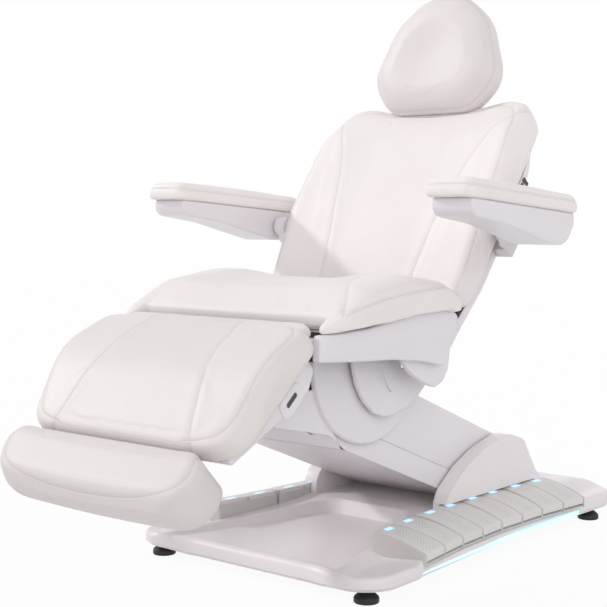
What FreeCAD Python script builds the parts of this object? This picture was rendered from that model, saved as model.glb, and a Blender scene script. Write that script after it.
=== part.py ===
import FreeCAD, Part
import math
import os
from FreeCAD import Placement, Rotation, Vector

# Electric facial bed: a floor base with two banks of foot keys, one lifting boom,
# a levelled carrier, a tilting seat, a reclining back, a swinging leg rest with a
# pull-out foot pad, two folding armrests and an adjustable headrest.
# Millimetres, +Z up, the head end at +Y, origin on the floor under the middle.

# Levelling feet
FOOT_R = 25.0
FOOT_H = 20.0
STUD_R = 5.0
FOOT_X = 278.0
FRONT_FOOT_Y = -257.0
REAR_FOOT_Y = 637.0

# Base moulding
BASE_FRONT_Y = -303.0
BASE_REAR_Y = 735.0
BASE_FRONT_X = 330.0
BASE_WAIST_X = 298.0
BASE_REAR_X = 314.0
BASE_WAIST_Y = 250.0
SKIRT_Z = 28.0
FRONT_EDGE_Z = 62.0
DECK_Z = 98.0
DECK_START_Y = 150.0
DECK_END_Y = 640.0
REAR_EDGE_Z = 68.0
TRAY_Z = 58.0
TRAY_FRONT_X = 236.0
TRAY_MID_X = 168.0
TRAY_REAR_X = 118.0
TRAY_REAR_Y = 122.0
CAVITY_Z = 46.0
CAVITY_WALL = 8.0

# Light strips and power inlet
STRIP_Z = 34.0
STRIP_H = 7.0
STRIP_D = 3.0
STRIP_HALF_L = 335.0
INLET_HALF_W = 24.0
INLET_Z = 34.0
INLET_TOP_Z = 60.0

# Tower that holds the foot of the boom
TOWER_IN_X = 166.0
TOWER_OUT_X = 202.0
TOWER_FRONT_Y = 160.0
TOWER_TOP_Z = 222.0
TOWER_TOP_Y = 398.0
TOWER_TOP_END_Y = 486.0
TOWER_REAR_Y = 612.0
SLOT_REAR_Y = 490.0
SLOT_Z = 52.0

# Foot keys: two banks set along a shallow arc
MODULES = 4
KEYS_PER_MODULE = 2
BANK_ARC_R = 2300.0
BANK_MID_Y = 200.0
BANK_WAIST_Y = 240.0
BANK_X = 242.0
MODULE_L = 170.0
MODULE_PITCH = 172.0
MODULE_D = 120.0
SHELF_Z = 52.0
KEY_HIGH_Z = 106.0
KEY_MID_Z = 97.0
KEY_LOW_Z = 76.0
KEY_T = 7.0
KEY_GAP = 1.2
RIB_T = 3.0
KEY_HINGE_IN = 12.0
KEY_PIN_R = 3.0
KEY_RELIEF = 9.0
RUN_FIT = 0.05
LOOSE_FIT = 0.4

# Boom between the tower and the carrier
P0_Y = 395.0
P0_Z = 134.0
BOOM_ANGLE = 21.8
BOOM_L = 570.0
BOOM_HALF_T = 85.5
BOOM_HALF_W = 160.0
BOOM_WALL = 3.0
BOOM_SEAM_Z = -36.0
SEAM_GAP = 0.6
SHAFT_R = 12.0
HUB_R = 26.0
ARM_IN_X = 38.0
ARM_OUT_X = 62.0
ARM_HALF_H = 35.0
ARM_WALL = 3.0
PLATE_IN_X = 104.0
PLATE_T = 8.0
LANE_GAP = 4.0
LEVEL_RISE = 45.0
LEVEL_X = 84.0
LEVEL_W = 10.0
LIFT_PIN_R = 6.0
LIFT_EYE_AT = 455.0
LIFT_LEVER = 75.0
LIFT_RANGE = 34.0

# Carrier under the seat; all that the boom carries is drawn about the shaft P1
P1_Y = -134.237
P1_Z = 345.68
P2_Y = -85.0
P2_Z = 440.0
CHEEK_Y = -110.0
CHEEK_Z = 455.0
CHEEK_R = 180.0
CHEEK_IN_X = 163.0
CHEEK_T = 13.0
CHEEK_STEP_Y = -26.0
CHEEK_STEP_Z = 392.0
COVER_WALL = 3.5
NOSE_FRONT_Y = -400.0
NOSE_FRONT_Z = 345.0
NOSE_TOP_Y = -386.0
NOSE_TOP_Z = 402.0
FRONT_BAR_Y = -262.0
FRONT_BAR_Z = 352.0
FRONT_BAR_R = 12.0
CARRIER_IN_W = 155.0

# Seat
P3_Y = 60.0
P3_Z = 535.0
P4_Y = -370.0
P4_Z = 500.0
PIN_R = 8.0
TILT_LOBE_R = 24.0
HINGE_LOBE_R = 14.0
RAIL_LOW_Z = 482.0
RAIL_TOP_Z = 520.0
PAN_T = 4.0
PAN_HALF_W = 240.0
PAN_FRONT_Y = -318.0
PAN_REAR_Y = 12.0
OUTRIGGER_R = 8.0
OUTRIGGER_Z = 500.0
SEAT_SHELL_X = 252.0
SEAT_SHELL_T = 18.0
SHELL_FRONT_Y = -394.0
SEAT_HALF_W = 292.0
SEAT_EDGE_RISE = 14.0
SEAT_GAP = 0.1
SEAT_FRONT_Y = -338.0
SEAT_REAR_Y = 27.0
SEAT_EAR = 33.0
SOFT_GAP = 0.5
REAR_DISC_Y = 40.0
REAR_DISC_Z = 480.0
REAR_DISC_R = 85.0
TILT_DISC_R = 108.0
TILT_DISC_T = 13.0

# Back
BACK_ANGLE = 51.0
BACK_FACE_N = 78.0
BACK_HALF_W = 282.0
BACK_FOOT_N = -32.0
BACK_LOW_S = 17.0
BACK_TOP_S = 546.0
BACK_SHELL_FRONT_N = -36.5
BACK_SHELL_DEPTH = 48.0
BACK_SHELL_WALL = 4.0
SHELL_WIDE_X = 264.0
SHELL_WIDE_S = 170.0
SHELL_HIGH_X = 256.0
SHELL_HIGH_S = 440.0
SHELL_FOOT_X = 216.0
SHELL_FOOT_S = -58.0
SHELL_TOP_X = 226.0
SHELL_TOP_S = 528.0
VENT_RIBS = 7
VENT_ABOVE_ARM = 80.6
VENT_PITCH = 16.0
VENT_W = 9.0
VENT_T = 2.4
VENT_LOW_N = -62.0
VENT_TOP_N = -40.0
VENT_GAP = 1.15
TUBE_IN_X = 128.0
TUBE_OUT_X = 150.0
BACK_TUBE_LOW_N = -68.0
BACK_TUBE_TOP_N = -36.0
BACK_LEVER = 67.0
BACK_LEVER_TURN = -123.0

# Armrests
H_Y = 190.0
H_Z = 712.0
ARM_SLOPE = -4.4
ARM_X = 384.0
ARM_PAD_HALF_W = 54.0
ARM_SHELL_HALF_W = 47.0
ARM_FRONT = -330.0
ARM_REAR = 72.0
ARM_PAD_LOW = 39.0
ARM_PAD_TOP = 79.0
ARM_PIN_R = 10.0
HUB_IN_X = 300.0
HUB_OUT_X = 328.0
HUB_DISC_R = 24.0
ARM_PLATE_X = 288.0

# Headrest
HEAD_Y = 391.0
HEAD_Z = 968.0
HEAD_ANGLE = 74.0
HEAD_HALF_W = 172.0
HEAD_LOW_T = 5.0
HEAD_TOP_T = 287.0
HEAD_MID_M = 32.0
HEAD_HALF_T = 48.0
HEAD_HINGE_T = 42.0
HEAD_HINGE_M = -44.0
POST_R = 6.0
POST_X = 60.0
POST_N = -56.0
POST_LOW_S = 330.0
SLEEVE_R = 10.0
SLEEVE_LOW_S = 400.0
SLEEVE_TOP_S = 505.0

# Leg rest and foot pad
LEG_ANGLE = 41.0
LEG_LEN = 306.0
LEG_FACE_N = 99.0
LEG_HALF_W = 296.0
LEG_START = 5.0
FLAP_HALF_W = 222.0
LEG_FOOT_N = 15.0
LEG_FRAME_LOW_N = -4.0
LEG_FRAME_TOP_N = 14.0
LEG_SHELL_X = 238.0
LEG_CHEEK_IN_X = 178.0
LEG_WINGS = (60.0, LEG_LEN - 26.0)
LEG_LEVER = 60.0
LEG_LEVER_TURN = 6.5
FOOT_GAP = 4.0
FOOT_LEN = 120.0
FOOT_HALF_W = 284.0
FOOT_FACE_N = 84.0
FOOT_FALL = 20.0
FOOT_LOW_N = -16.0
SLIDE_R = 8.0
SLIDE_X = 90.0
SLIDE_L = 270.0

# Linear actuators
ACT_X = 80.0
GEAR_HALF = 20.0
ACT_TUBE_R = 16.0
ACT_ROD_R = 8.0
EYE_R = 14.0
EYE_T = 14.0
SLOT_W = 7.2
SLOT_L = 17.0
SHORT_SLOT_L = 9.0
ACT_PIN_R = 6.0
LUG_T = 5.0
LUG_GAP = 1.5

BOOM_END_Y = P0_Y - BOOM_L * math.cos(math.radians(BOOM_ANGLE))
BOOM_END_Z = P0_Z + BOOM_L * math.sin(math.radians(BOOM_ANGLE))
PLATE_OUT_X = PLATE_IN_X + PLATE_T
FOOT_START = LEG_LEN + FOOT_GAP
FOOT_END = FOOT_START + FOOT_LEN
SIDE_IN_X = PLATE_OUT_X + LANE_GAP
SIDE_OUT_X = SIDE_IN_X + PLATE_T


def wire(points):
    """Closed wire in the XY plane from (x, y, corner radius) triples."""
    corners = []
    for i, (x, y, r) in enumerate(points):
        p = Vector(x, y, 0)
        a = Vector(points[i - 1][0], points[i - 1][1], 0)
        b = Vector(points[(i + 1) % len(points)][0], points[(i + 1) % len(points)][1], 0)
        to_a = (a - p).normalize()
        to_b = (b - p).normalize()
        half = to_a.getAngle(to_b) / 2
        if r == 0:
            corners.append((p, p, p))
            continue
        run = r / math.tan(half)
        middle = p + (to_a + to_b).normalize() * (r / math.sin(half) - r)
        corners.append((p + to_a * run, middle, p + to_b * run))
    edges = []
    for i, (start, middle, end) in enumerate(corners):
        before = corners[i - 1][2]
        if before.distanceToPoint(start) > 1e-6:
            edges.append(Part.makeLine(before, start))
        if start.distanceToPoint(end) > 1e-6:
            edges.append(Part.Arc(start, middle, end).toShape())
    return Part.Wire(edges)


def inset(points, d):
    """The same outline drawn in by d, corner radii following."""
    area = sum(
        points[i - 1][0] * points[i][1] - points[i][0] * points[i - 1][1]
        for i in range(len(points))
    )
    turn = 1 if area > 0 else -1
    moved = []
    for i, (x, y, r) in enumerate(points):
        ax, ay = points[i - 1][:2]
        bx, by = points[(i + 1) % len(points)][:2]
        la = math.hypot(x - ax, y - ay)
        lb = math.hypot(bx - x, by - y)
        na = Vector(-(y - ay) / la, (x - ax) / la, 0) * turn
        nb = Vector(-(by - y) / lb, (bx - x) / lb, 0) * turn
        n = (na + nb).normalize()
        step = d / n.dot(na)
        cross = (x - ax) * (by - y) - (y - ay) * (bx - x)
        bent = r - d if cross * turn > 0 else r + d
        moved.append((x + n.x * step, y + n.y * step, max(bent, 2.0) if r else 0))
    return moved


def slab(points, z0, z1):
    """Upright prism over an outline."""
    face = Part.Face(wire(points))
    face.translate(Vector(0, 0, z0))
    return face.extrude(Vector(0, 0, z1 - z0))


def side(points, x0, x1):
    """Prism across the bed from a side outline of (y, z, radius) triples."""
    face = Part.Face(wire(points))
    face.Placement = Placement(Vector(x0, 0, 0), Rotation(Vector(1, 1, 1), 120))
    return face.extrude(Vector(x1 - x0, 0, 0))


def bar(y, z, r, x0, x1):
    """Round bar across the bed."""
    return Part.makeCylinder(r, x1 - x0, Vector(x0, y, z), Vector(1, 0, 0))


def box(x0, x1, y0, y1, z0, z1):
    """Rectangular block between two corners."""
    return Part.makeBox(x1 - x0, y1 - y0, z1 - z0, Vector(x0, y0, z0))


def mirrored(shape):
    """The same shape on the other side of the bed."""
    return shape.mirror(Vector(0, 0, 0), Vector(1, 0, 0))


def both(shape):
    """A shape and its mirror image as two separate solids."""
    return [shape, mirrored(shape)]


def joined(first, *rest):
    """One solid out of shapes that run into each other."""
    return first.fuse(list(rest)).removeSplitter()


def turned(shape, y, z, angle):
    """A shape drawn about its pivot, turned about the cross axis and set in place."""
    placed = shape.copy()
    placed.rotate(Vector(0, 0, 0), Vector(1, 0, 0), angle)
    placed.translate(Vector(0, y, z))
    return placed


def spot(y, z, angle, along, normal):
    """Where a point drawn in a turned frame lies on the bed, as (y, z)."""
    c = math.cos(math.radians(angle))
    s = math.sin(math.radians(angle))
    return y + along * c - normal * s, z + along * s + normal * c


def pad(layers):
    """Soft block lofted through outlines stacked along its normal."""
    wires = []
    for height, points in layers:
        w = wire(points)
        w.translate(Vector(0, 0, height))
        wires.append(w)
    return Part.makeLoft(wires, True, False)


def crowned(points, low, high, draw):
    """Cushion on an outline: sides drawn in at foot and face, face crowned."""
    depth = high - low
    return pad([
        (low, inset(points, draw * 0.35)),
        (low + depth * 0.3, points),
        (low + depth * 0.62, inset(points, draw * 0.06)),
        (low + depth * 0.86, inset(points, draw * 0.5)),
        (high, inset(points, draw * 1.6)),
    ])


def cross_wire(points, x):
    """Closed side outline of (y, z, radius) triples standing at one station across the bed."""
    w = wire(points)
    w.Placement = Placement(Vector(x, 0, 0), Rotation(Vector(1, 1, 1), 120))
    return w


def bolster(section, stations):
    """Cushion lofted from side to side through sections given for one half, middle first."""
    halves = [(-row[0],) + row[1:] for row in reversed(stations[1:])] + stations
    return Part.makeLoft([section(*row) for row in halves], True, False)


CARRIED = ("carrier", "tilt", "seat", "back", "armrest", "headrest", "leg", "foot")


def save(name, shapes):
    """Write one node; several solids go in as a group. The end of the boom carries its own."""
    solids = shapes if isinstance(shapes, list) else [shapes]
    whole = Part.makeCompound(solids) if len(solids) > 1 else solids[0].copy()
    if name.split("_")[0] in CARRIED:
        whole.translate(Vector(0, BOOM_END_Y - P1_Y, BOOM_END_Z - P1_Z))
    whole.exportStep("parts/" + name + ".step")


def base_outline():
    """Waisted outline of the base seen from above."""
    return [
        (-BASE_FRONT_X, BASE_FRONT_Y, 75), (0, BASE_FRONT_Y + 20, 2500),
        (BASE_FRONT_X, BASE_FRONT_Y, 75), (BASE_WAIST_X, BASE_WAIST_Y, 7000),
        (BASE_REAR_X, BASE_REAR_Y, 70), (-BASE_REAR_X, BASE_REAR_Y, 70),
        (-BASE_WAIST_X, BASE_WAIST_Y, 7000),
    ]


def bank_frames():
    """Middle of each key module on the +X bank: (x, y, turn in degrees)."""
    frames = []
    for i in range(MODULES):
        y = BANK_MID_Y + (i - (MODULES - 1) / 2) * MODULE_PITCH
        angle = math.asin((y - BANK_WAIST_Y) / BANK_ARC_R)
        x = BANK_X + BANK_ARC_R * (1 - math.cos(angle))
        frames.append((x, y, -math.degrees(angle)))
    return frames


def on_bank(shape, frame):
    """Set a shape drawn about a module's middle at its place on the bank."""
    x, y, turn = frame
    placed = shape.copy()
    placed.rotate(Vector(0, 0, 0), Vector(0, 0, 1), turn)
    placed.translate(Vector(x, y, 0))
    return placed


def key_face(drop):
    """Sloping, gently arched upper line of a key, lowered by drop, as an edge."""
    half = MODULE_D / 2
    return Part.Arc(
        Vector(-half, 0, KEY_HIGH_Z - drop), Vector(0, 0, KEY_MID_Z - drop),
        Vector(half, 0, KEY_LOW_Z - drop)).toShape()


def key_slice(top_drop, low_drop, y0, y1):
    """Block along the bank between two copies of the arched line."""
    upper = key_face(top_drop)
    lower = key_face(low_drop)
    ends = [(e.Vertexes[0].Point, e.Vertexes[1].Point) for e in (upper, lower)]
    loop = Part.Wire(Part.__sortEdges__([
        upper, lower, Part.makeLine(ends[0][0], ends[1][0]),
        Part.makeLine(ends[0][1], ends[1][1])]))
    face = Part.Face(loop)
    face.translate(Vector(0, y0, 0))
    return face.extrude(Vector(0, y1 - y0, 0))


KEY_W = (MODULE_L - RIB_T * (KEYS_PER_MODULE + 1)) / KEYS_PER_MODULE - 2 * KEY_GAP
KEY_HINGE_X = -MODULE_D / 2 + KEY_HINGE_IN
KEY_HINGE_Z = KEY_HIGH_Z - KEY_T * 1.6


def key_middles():
    """Middle of each key along its module."""
    step = (MODULE_L - RIB_T) / KEYS_PER_MODULE
    return [(i - (KEYS_PER_MODULE - 1) / 2) * step for i in range(KEYS_PER_MODULE)]


def key_module():
    """Wedge housing of one module with ribs between its keys."""
    half = MODULE_L / 2
    full = key_slice(0, KEY_HIGH_Z - SHELF_Z + 40, -half, half)
    block = full.common(box(-MODULE_D, MODULE_D, -MODULE_L, MODULE_L, SHELF_Z, 200))
    for mid in key_middles():
        y0 = mid - KEY_W / 2 - KEY_GAP
        y1 = mid + KEY_W / 2 + KEY_GAP
        block = block.cut(key_slice(-20, KEY_T + KEY_RELIEF, y0, y1))
        block = block.cut(Part.makeCylinder(
            KEY_PIN_R + RUN_FIT, KEY_W + 2 * (KEY_GAP + RIB_T / 2),
            Vector(KEY_HINGE_X, y0 - RIB_T / 2, KEY_HINGE_Z), Vector(0, 1, 0)))
    return block


def key(mid):
    """One key: arched cap, hinge barrel and trunnions."""
    y0 = mid - KEY_W / 2
    cap = key_slice(0, KEY_T, y0, y0 + KEY_W)
    reach = KEY_GAP + RIB_T / 2 - 0.2
    axle = Part.makeCylinder(
        KEY_PIN_R, KEY_W + 2 * reach, Vector(KEY_HINGE_X, y0 - reach, KEY_HINGE_Z),
        Vector(0, 1, 0))
    web = box(KEY_HINGE_X - 2, KEY_HINGE_X + 2, y0, y0 + KEY_W, KEY_HINGE_Z, KEY_HIGH_Z - KEY_T)
    return joined(cap, axle, web)


def base_cover():
    """Moulded base: waisted skirt, rising deck, open front tray and boom tower."""
    deck = [
        (BASE_FRONT_Y - 5, SKIRT_Z, 0), (BASE_REAR_Y + 5, SKIRT_Z, 0),
        (BASE_REAR_Y + 5, REAR_EDGE_Z, 0), (DECK_END_Y, DECK_Z, 120),
        (DECK_START_Y, DECK_Z, 200), (BASE_FRONT_Y - 5, FRONT_EDGE_Z, 0),
    ]
    body = side(deck, -BASE_FRONT_X, BASE_FRONT_X)
    body = body.common(slab(base_outline(), SKIRT_Z, DECK_Z + 1))
    tower = side([
        (TOWER_FRONT_Y, DECK_Z - 20, 0), (TOWER_REAR_Y, DECK_Z - 20, 0),
        (TOWER_REAR_Y, DECK_Z - 6, 0), (TOWER_TOP_END_Y, TOWER_TOP_Z - 8, 40),
        (TOWER_TOP_Y, TOWER_TOP_Z, 160), (TOWER_FRONT_Y + 90, 172, 300),
        (TOWER_FRONT_Y, DECK_Z + 16, 0),
    ], -TOWER_OUT_X, TOWER_OUT_X)
    rim = [e for e in tower.Edges
           if abs(abs(e.CenterOfMass.x) - TOWER_OUT_X) < 0.01 and e.CenterOfMass.z > DECK_Z + 4]
    tower = tower.makeFillet(14, rim)
    body = joined(body, tower)
    shelf = [
        on_bank(box(-MODULE_D / 2 - 2, MODULE_D, -MODULE_L / 2 - 1.5, MODULE_L / 2 + 1.5,
                    SHELF_Z - SOFT_GAP, 300), frame)
        for frame in bank_frames()]
    shelf = shelf[0].fuse(shelf[1:])
    tray = slab([
        (-TRAY_FRONT_X, BASE_FRONT_Y - 30, 0), (TRAY_FRONT_X, BASE_FRONT_Y - 30, 0),
        (TRAY_MID_X, -60, 300), (TRAY_REAR_X, TRAY_REAR_Y, 60),
        (-TRAY_REAR_X, TRAY_REAR_Y, 60), (-TRAY_MID_X, -60, 300),
    ], TRAY_Z, 300)
    slot = box(-TOWER_IN_X, TOWER_IN_X, TOWER_FRONT_Y - 12, SLOT_REAR_Y, SLOT_Z, 400)
    hollow = slab(inset(base_outline(), CAVITY_WALL), SKIRT_Z - 5, CAVITY_Z)
    well = box(-TOWER_IN_X, TOWER_IN_X, TOWER_FRONT_Y + 40, SLOT_REAR_Y, SKIRT_Z, 300)
    bay = box(-TOWER_IN_X, TOWER_IN_X, SLOT_REAR_Y + 6, DECK_END_Y - 40, SKIRT_Z, DECK_Z - 14)
    low = STRIP_Z - LOOSE_FIT
    high = STRIP_Z + STRIP_H + LOOSE_FIT
    run = STRIP_HALF_L + LOOSE_FIT
    groove = slab(base_outline(), low, high)
    groove = groove.cut(slab(inset(base_outline(), STRIP_D + LOOSE_FIT), low - 2, high + 2))
    groove = groove.common(box(-400, 400, BANK_MID_Y - run, BANK_MID_Y + run, 0, 100))
    half = INLET_HALF_W + LOOSE_FIT
    mouth = box(-half, half, BASE_REAR_Y - 20, BASE_REAR_Y + 5, INLET_Z - LOOSE_FIT, INLET_TOP_Z + LOOSE_FIT)
    return body.cut([shelf, mirrored(shelf), tray, slot, hollow, well, bay, groove, mouth])


FRAME_Z0 = 30.0
FRAME_Z1 = 44.0
LIFT_MID = BOOM_ANGLE + LIFT_RANGE / 2
LIFT_PIN_Y, LIFT_PIN_Z = spot(P0_Y, P0_Z, -LIFT_MID, 0, -LIFT_LEVER)


def base_frame():
    """Steel chassis: two rails, two cross members, boom uprights and lift lugs."""
    rails = [box(s * 130 - 15, s * 130 + 15, FRONT_FOOT_Y - 20, REAR_FOOT_Y + 20,
                 FRAME_Z0, FRAME_Z1) for s in (-1, 1)]
    beams = [box(-FOOT_X - 12, FOOT_X + 12, y - 20, y + 20, FRAME_Z0, FRAME_Z1)
             for y in (FRONT_FOOT_Y, REAR_FOOT_Y)]
    upright = side([
        (P0_Y - 52, FRAME_Z0, 6), (P0_Y + 52, FRAME_Z0, 6), (P0_Y + 30, P0_Z + LEVEL_RISE + 16, 14),
        (P0_Y - 30, P0_Z + LEVEL_RISE + 16, 14)], PLATE_IN_X, PLATE_OUT_X)
    foot = box(PLATE_IN_X, 146, P0_Y - 52, P0_Y + 52, FRAME_Z0, FRAME_Z1)
    stub = bar(P0_Y, P0_Z + LEVEL_RISE, ACT_PIN_R, LEVEL_X - 2, PLATE_OUT_X)
    lug = side([
        (LIFT_PIN_Y - 24, FRAME_Z0, 4), (LIFT_PIN_Y + 24, FRAME_Z0, 4),
        (LIFT_PIN_Y + 11, LIFT_PIN_Z + 10, 8), (LIFT_PIN_Y - 11, LIFT_PIN_Z + 10, 8)],
        EYE_T / 2 + LUG_GAP, EYE_T / 2 + LUG_GAP + LUG_T)
    bridge = box(-146, 146, LIFT_PIN_Y - 24, LIFT_PIN_Y + 24, FRAME_Z0, FRAME_Z1)
    pin = bar(LIFT_PIN_Y, LIFT_PIN_Z, ACT_PIN_R, -EYE_T, EYE_T)
    whole = joined(
        rails[0], rails[1], *beams, upright, mirrored(upright), foot, mirrored(foot),
        stub, mirrored(stub), lug, mirrored(lug), bridge, pin)
    holes = [bar(P0_Y, P0_Z, SHAFT_R + RUN_FIT, -200, 200)]
    for x in (-FOOT_X, FOOT_X):
        for y in (FRONT_FOOT_Y, REAR_FOOT_Y):
            holes.append(Part.makeCylinder(STUD_R + 0.3, 60, Vector(x, y, FRAME_Z0 - 5)))
    return whole.cut(holes)


def feet():
    """Four rubber feet on threaded studs."""
    solids = []
    for x in (-FOOT_X, FOOT_X):
        for y in (FRONT_FOOT_Y, REAR_FOOT_Y):
            disc = Part.makeCylinder(FOOT_R, FOOT_H * 0.55, Vector(x, y, 0))
            cone = Part.makeCone(FOOT_R, FOOT_R * 0.6, FOOT_H * 0.45, Vector(x, y, FOOT_H * 0.55))
            collar = Part.makeCylinder(STUD_R * 2, FRAME_Z0 - FOOT_H, Vector(x, y, FOOT_H))
            stud = Part.makeCylinder(STUD_R, FRAME_Z1 - FOOT_H, Vector(x, y, FOOT_H))
            solids.append(joined(disc, cone, collar, stud))
    return solids


def led_strip():
    """Light strip let into the foot of one side of the skirt."""
    band = slab(base_outline(), STRIP_Z, STRIP_Z + STRIP_H)
    band = band.cut(slab(inset(base_outline(), STRIP_D), STRIP_Z - 1, STRIP_Z + STRIP_H + 1))
    window = box(250, 400, BANK_MID_Y - STRIP_HALF_L, BANK_MID_Y + STRIP_HALF_L, 0, 100)
    return band.common(window)


def control_box():
    """Power and control unit in the rear of the base, with its inlet socket."""
    case = box(-130, 130, SLOT_REAR_Y + 12, DECK_END_Y - 46, FRAME_Z1, DECK_Z - 18)
    inlet = box(-INLET_HALF_W, INLET_HALF_W, BASE_REAR_Y - 9, BASE_REAR_Y - 0.5, INLET_Z, INLET_TOP_Z)
    socket = box(-14, 14, BASE_REAR_Y - 4, BASE_REAR_Y + 5, 38, 56)
    return [case, inlet.cut(socket)]


def boom_arm():
    """Welded steel arm: two box tubes, two hubs, cover brackets and lift eye pin."""
    tube = box(ARM_IN_X, ARM_OUT_X, -BOOM_L, 0, -ARM_HALF_H, ARM_HALF_H)
    bore = box(ARM_IN_X + ARM_WALL, ARM_OUT_X - ARM_WALL, -BOOM_L + HUB_R, -HUB_R,
               -ARM_HALF_H + ARM_WALL, ARM_HALF_H - ARM_WALL)
    tube = tube.cut(bore)
    hubs = [bar(y, 0, HUB_R, -ARM_OUT_X - 12, ARM_OUT_X + 12) for y in (-BOOM_L, 0)]
    caps = [bar(y, 0, ARM_HALF_H, ARM_IN_X, ARM_OUT_X) for y in (-BOOM_L, 0)]
    pin = bar(-LIFT_EYE_AT, 0, LIFT_PIN_R, -ARM_IN_X - 4, ARM_IN_X + 4)
    stays = []
    for y in (-430, -120):
        stays.append(box(ARM_OUT_X - 2, BOOM_HALF_W - BOOM_WALL, y - 12, y + 12, -34, -28))
        stays.append(box(BOOM_HALF_W - BOOM_WALL - 4, BOOM_HALF_W - BOOM_WALL,
                         y - 12, y + 12, -62, 6))
    parts = [mirrored(tube)] + hubs + caps + [mirrored(c) for c in caps] + [pin]
    parts += stays + [mirrored(s) for s in stays]
    whole = joined(tube, *parts)
    bores = [bar(y, 0, SHAFT_R + RUN_FIT, -200, 200) for y in (-BOOM_L, 0)]
    return turned(whole.cut(bores), P0_Y, P0_Z, -BOOM_ANGLE)


def boom_side(half_t):
    """Side outline of the boom: two straight runs with round ends."""
    ends = half_t * 0.999
    return [(-BOOM_L - half_t, -half_t, ends), (half_t, -half_t, ends),
            (half_t, half_t, ends), (-BOOM_L - half_t, half_t, ends)]


COVER_LOW_START = -44.0
COVER_TOP_END = -480.0


def boom_cover():
    """Hollow boom moulding before it is split into its lower and upper halves."""
    outer = side(boom_side(BOOM_HALF_T), -BOOM_HALF_W, BOOM_HALF_W)
    w = BOOM_HALF_W - BOOM_WALL
    inner = side(boom_side(BOOM_HALF_T - BOOM_WALL), -w, w)
    ends = [
            box(-w, w, COVER_LOW_START, 120, -120, 20), box(-w, w, -10, 120, -120, 120),
            box(-w, w, -BOOM_L - 120, -BOOM_L, -120, 120),
            box(-w, w, -BOOM_L - 120, COVER_TOP_END, 0, 120),
            bar(-BOOM_L, 0, SHAFT_R + 2, -200, 200)]
    return outer.cut([inner] + ends)


def boom_covers():
    """Lower and upper boom mouldings with the fine gap between them."""
    whole = boom_cover()
    low = whole.common(box(-300, 300, -900, 300, -300, BOOM_SEAM_Z - SEAM_GAP / 2))
    top = whole.common(box(-300, 300, -900, 300, BOOM_SEAM_Z + SEAM_GAP / 2, 300))
    return [turned(s, P0_Y, P0_Z, -BOOM_ANGLE) for s in (low, top)]


def boom_shafts():
    """The two cross shafts at the ends of the boom."""
    reach = PLATE_OUT_X + 2
    return [bar(P0_Y, P0_Z, SHAFT_R, -reach, reach), bar(BOOM_END_Y, BOOM_END_Z, SHAFT_R, -reach, reach)]


def levelling_rods():
    """Two rods beside the arm that keep the carrier level."""
    eye = ACT_PIN_R + 6
    flat = box(LEVEL_X, LEVEL_X + LEVEL_W, -BOOM_L, 0, -6, 6)
    ends = [bar(y, 0, eye, LEVEL_X, LEVEL_X + LEVEL_W) for y in (-BOOM_L, 0)]
    holes = [bar(-BOOM_L, 0, ACT_PIN_R + LOOSE_FIT, 0, 200), bar(0, 0, ACT_PIN_R + RUN_FIT, 0, 200)]
    rod = joined(flat, *ends).cut(holes)
    return both(turned(rod, P0_Y, P0_Z + LEVEL_RISE, -BOOM_ANGLE))


def carrier_frame():
    """Two plates from the boom shaft to the tilt pins, with cross bars."""
    plate = side([
        (P1_Y - 6, P1_Z - 34, 20), (P1_Y + 34, P1_Z - 8, 24), (P2_Y + 30, P2_Z, 20),
        (P2_Y + 14, P2_Z + 27, 14), (P2_Y - 28, P2_Z + 22, 14), (FRONT_BAR_Y - 20, FRONT_BAR_Z + 22, 18),
        (FRONT_BAR_Y - 20, FRONT_BAR_Z - 18, 16)], PLATE_IN_X, PLATE_OUT_X)
    stub = bar(P1_Y, P1_Z + LEVEL_RISE, ACT_PIN_R, LEVEL_X - 2, PLATE_OUT_X)
    front = bar(FRONT_BAR_Y, FRONT_BAR_Z, FRONT_BAR_R, -CARRIER_IN_W, CARRIER_IN_W)
    rear = bar(P2_Y + 12, P2_Z - 32, 9, -PLATE_OUT_X, PLATE_OUT_X)
    whole = joined(plate, mirrored(plate), stub, mirrored(stub), front, rear)
    holes = [bar(P1_Y, P1_Z, SHAFT_R + RUN_FIT, -200, 200), bar(P2_Y, P2_Z, PIN_R + RUN_FIT, -200, 200)]
    return whole.cut(holes)


def nose_outline():
    """Side outline of the housing in front of the boom end."""
    return [
        (NOSE_FRONT_Y, NOSE_FRONT_Z, 14), (-218, 305, 60), (-182, 262, 0), (P1_Y, 262, 0),
        (P1_Y, NOSE_TOP_Z, 0), (NOSE_TOP_Y, NOSE_TOP_Z, 10),
    ]


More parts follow.
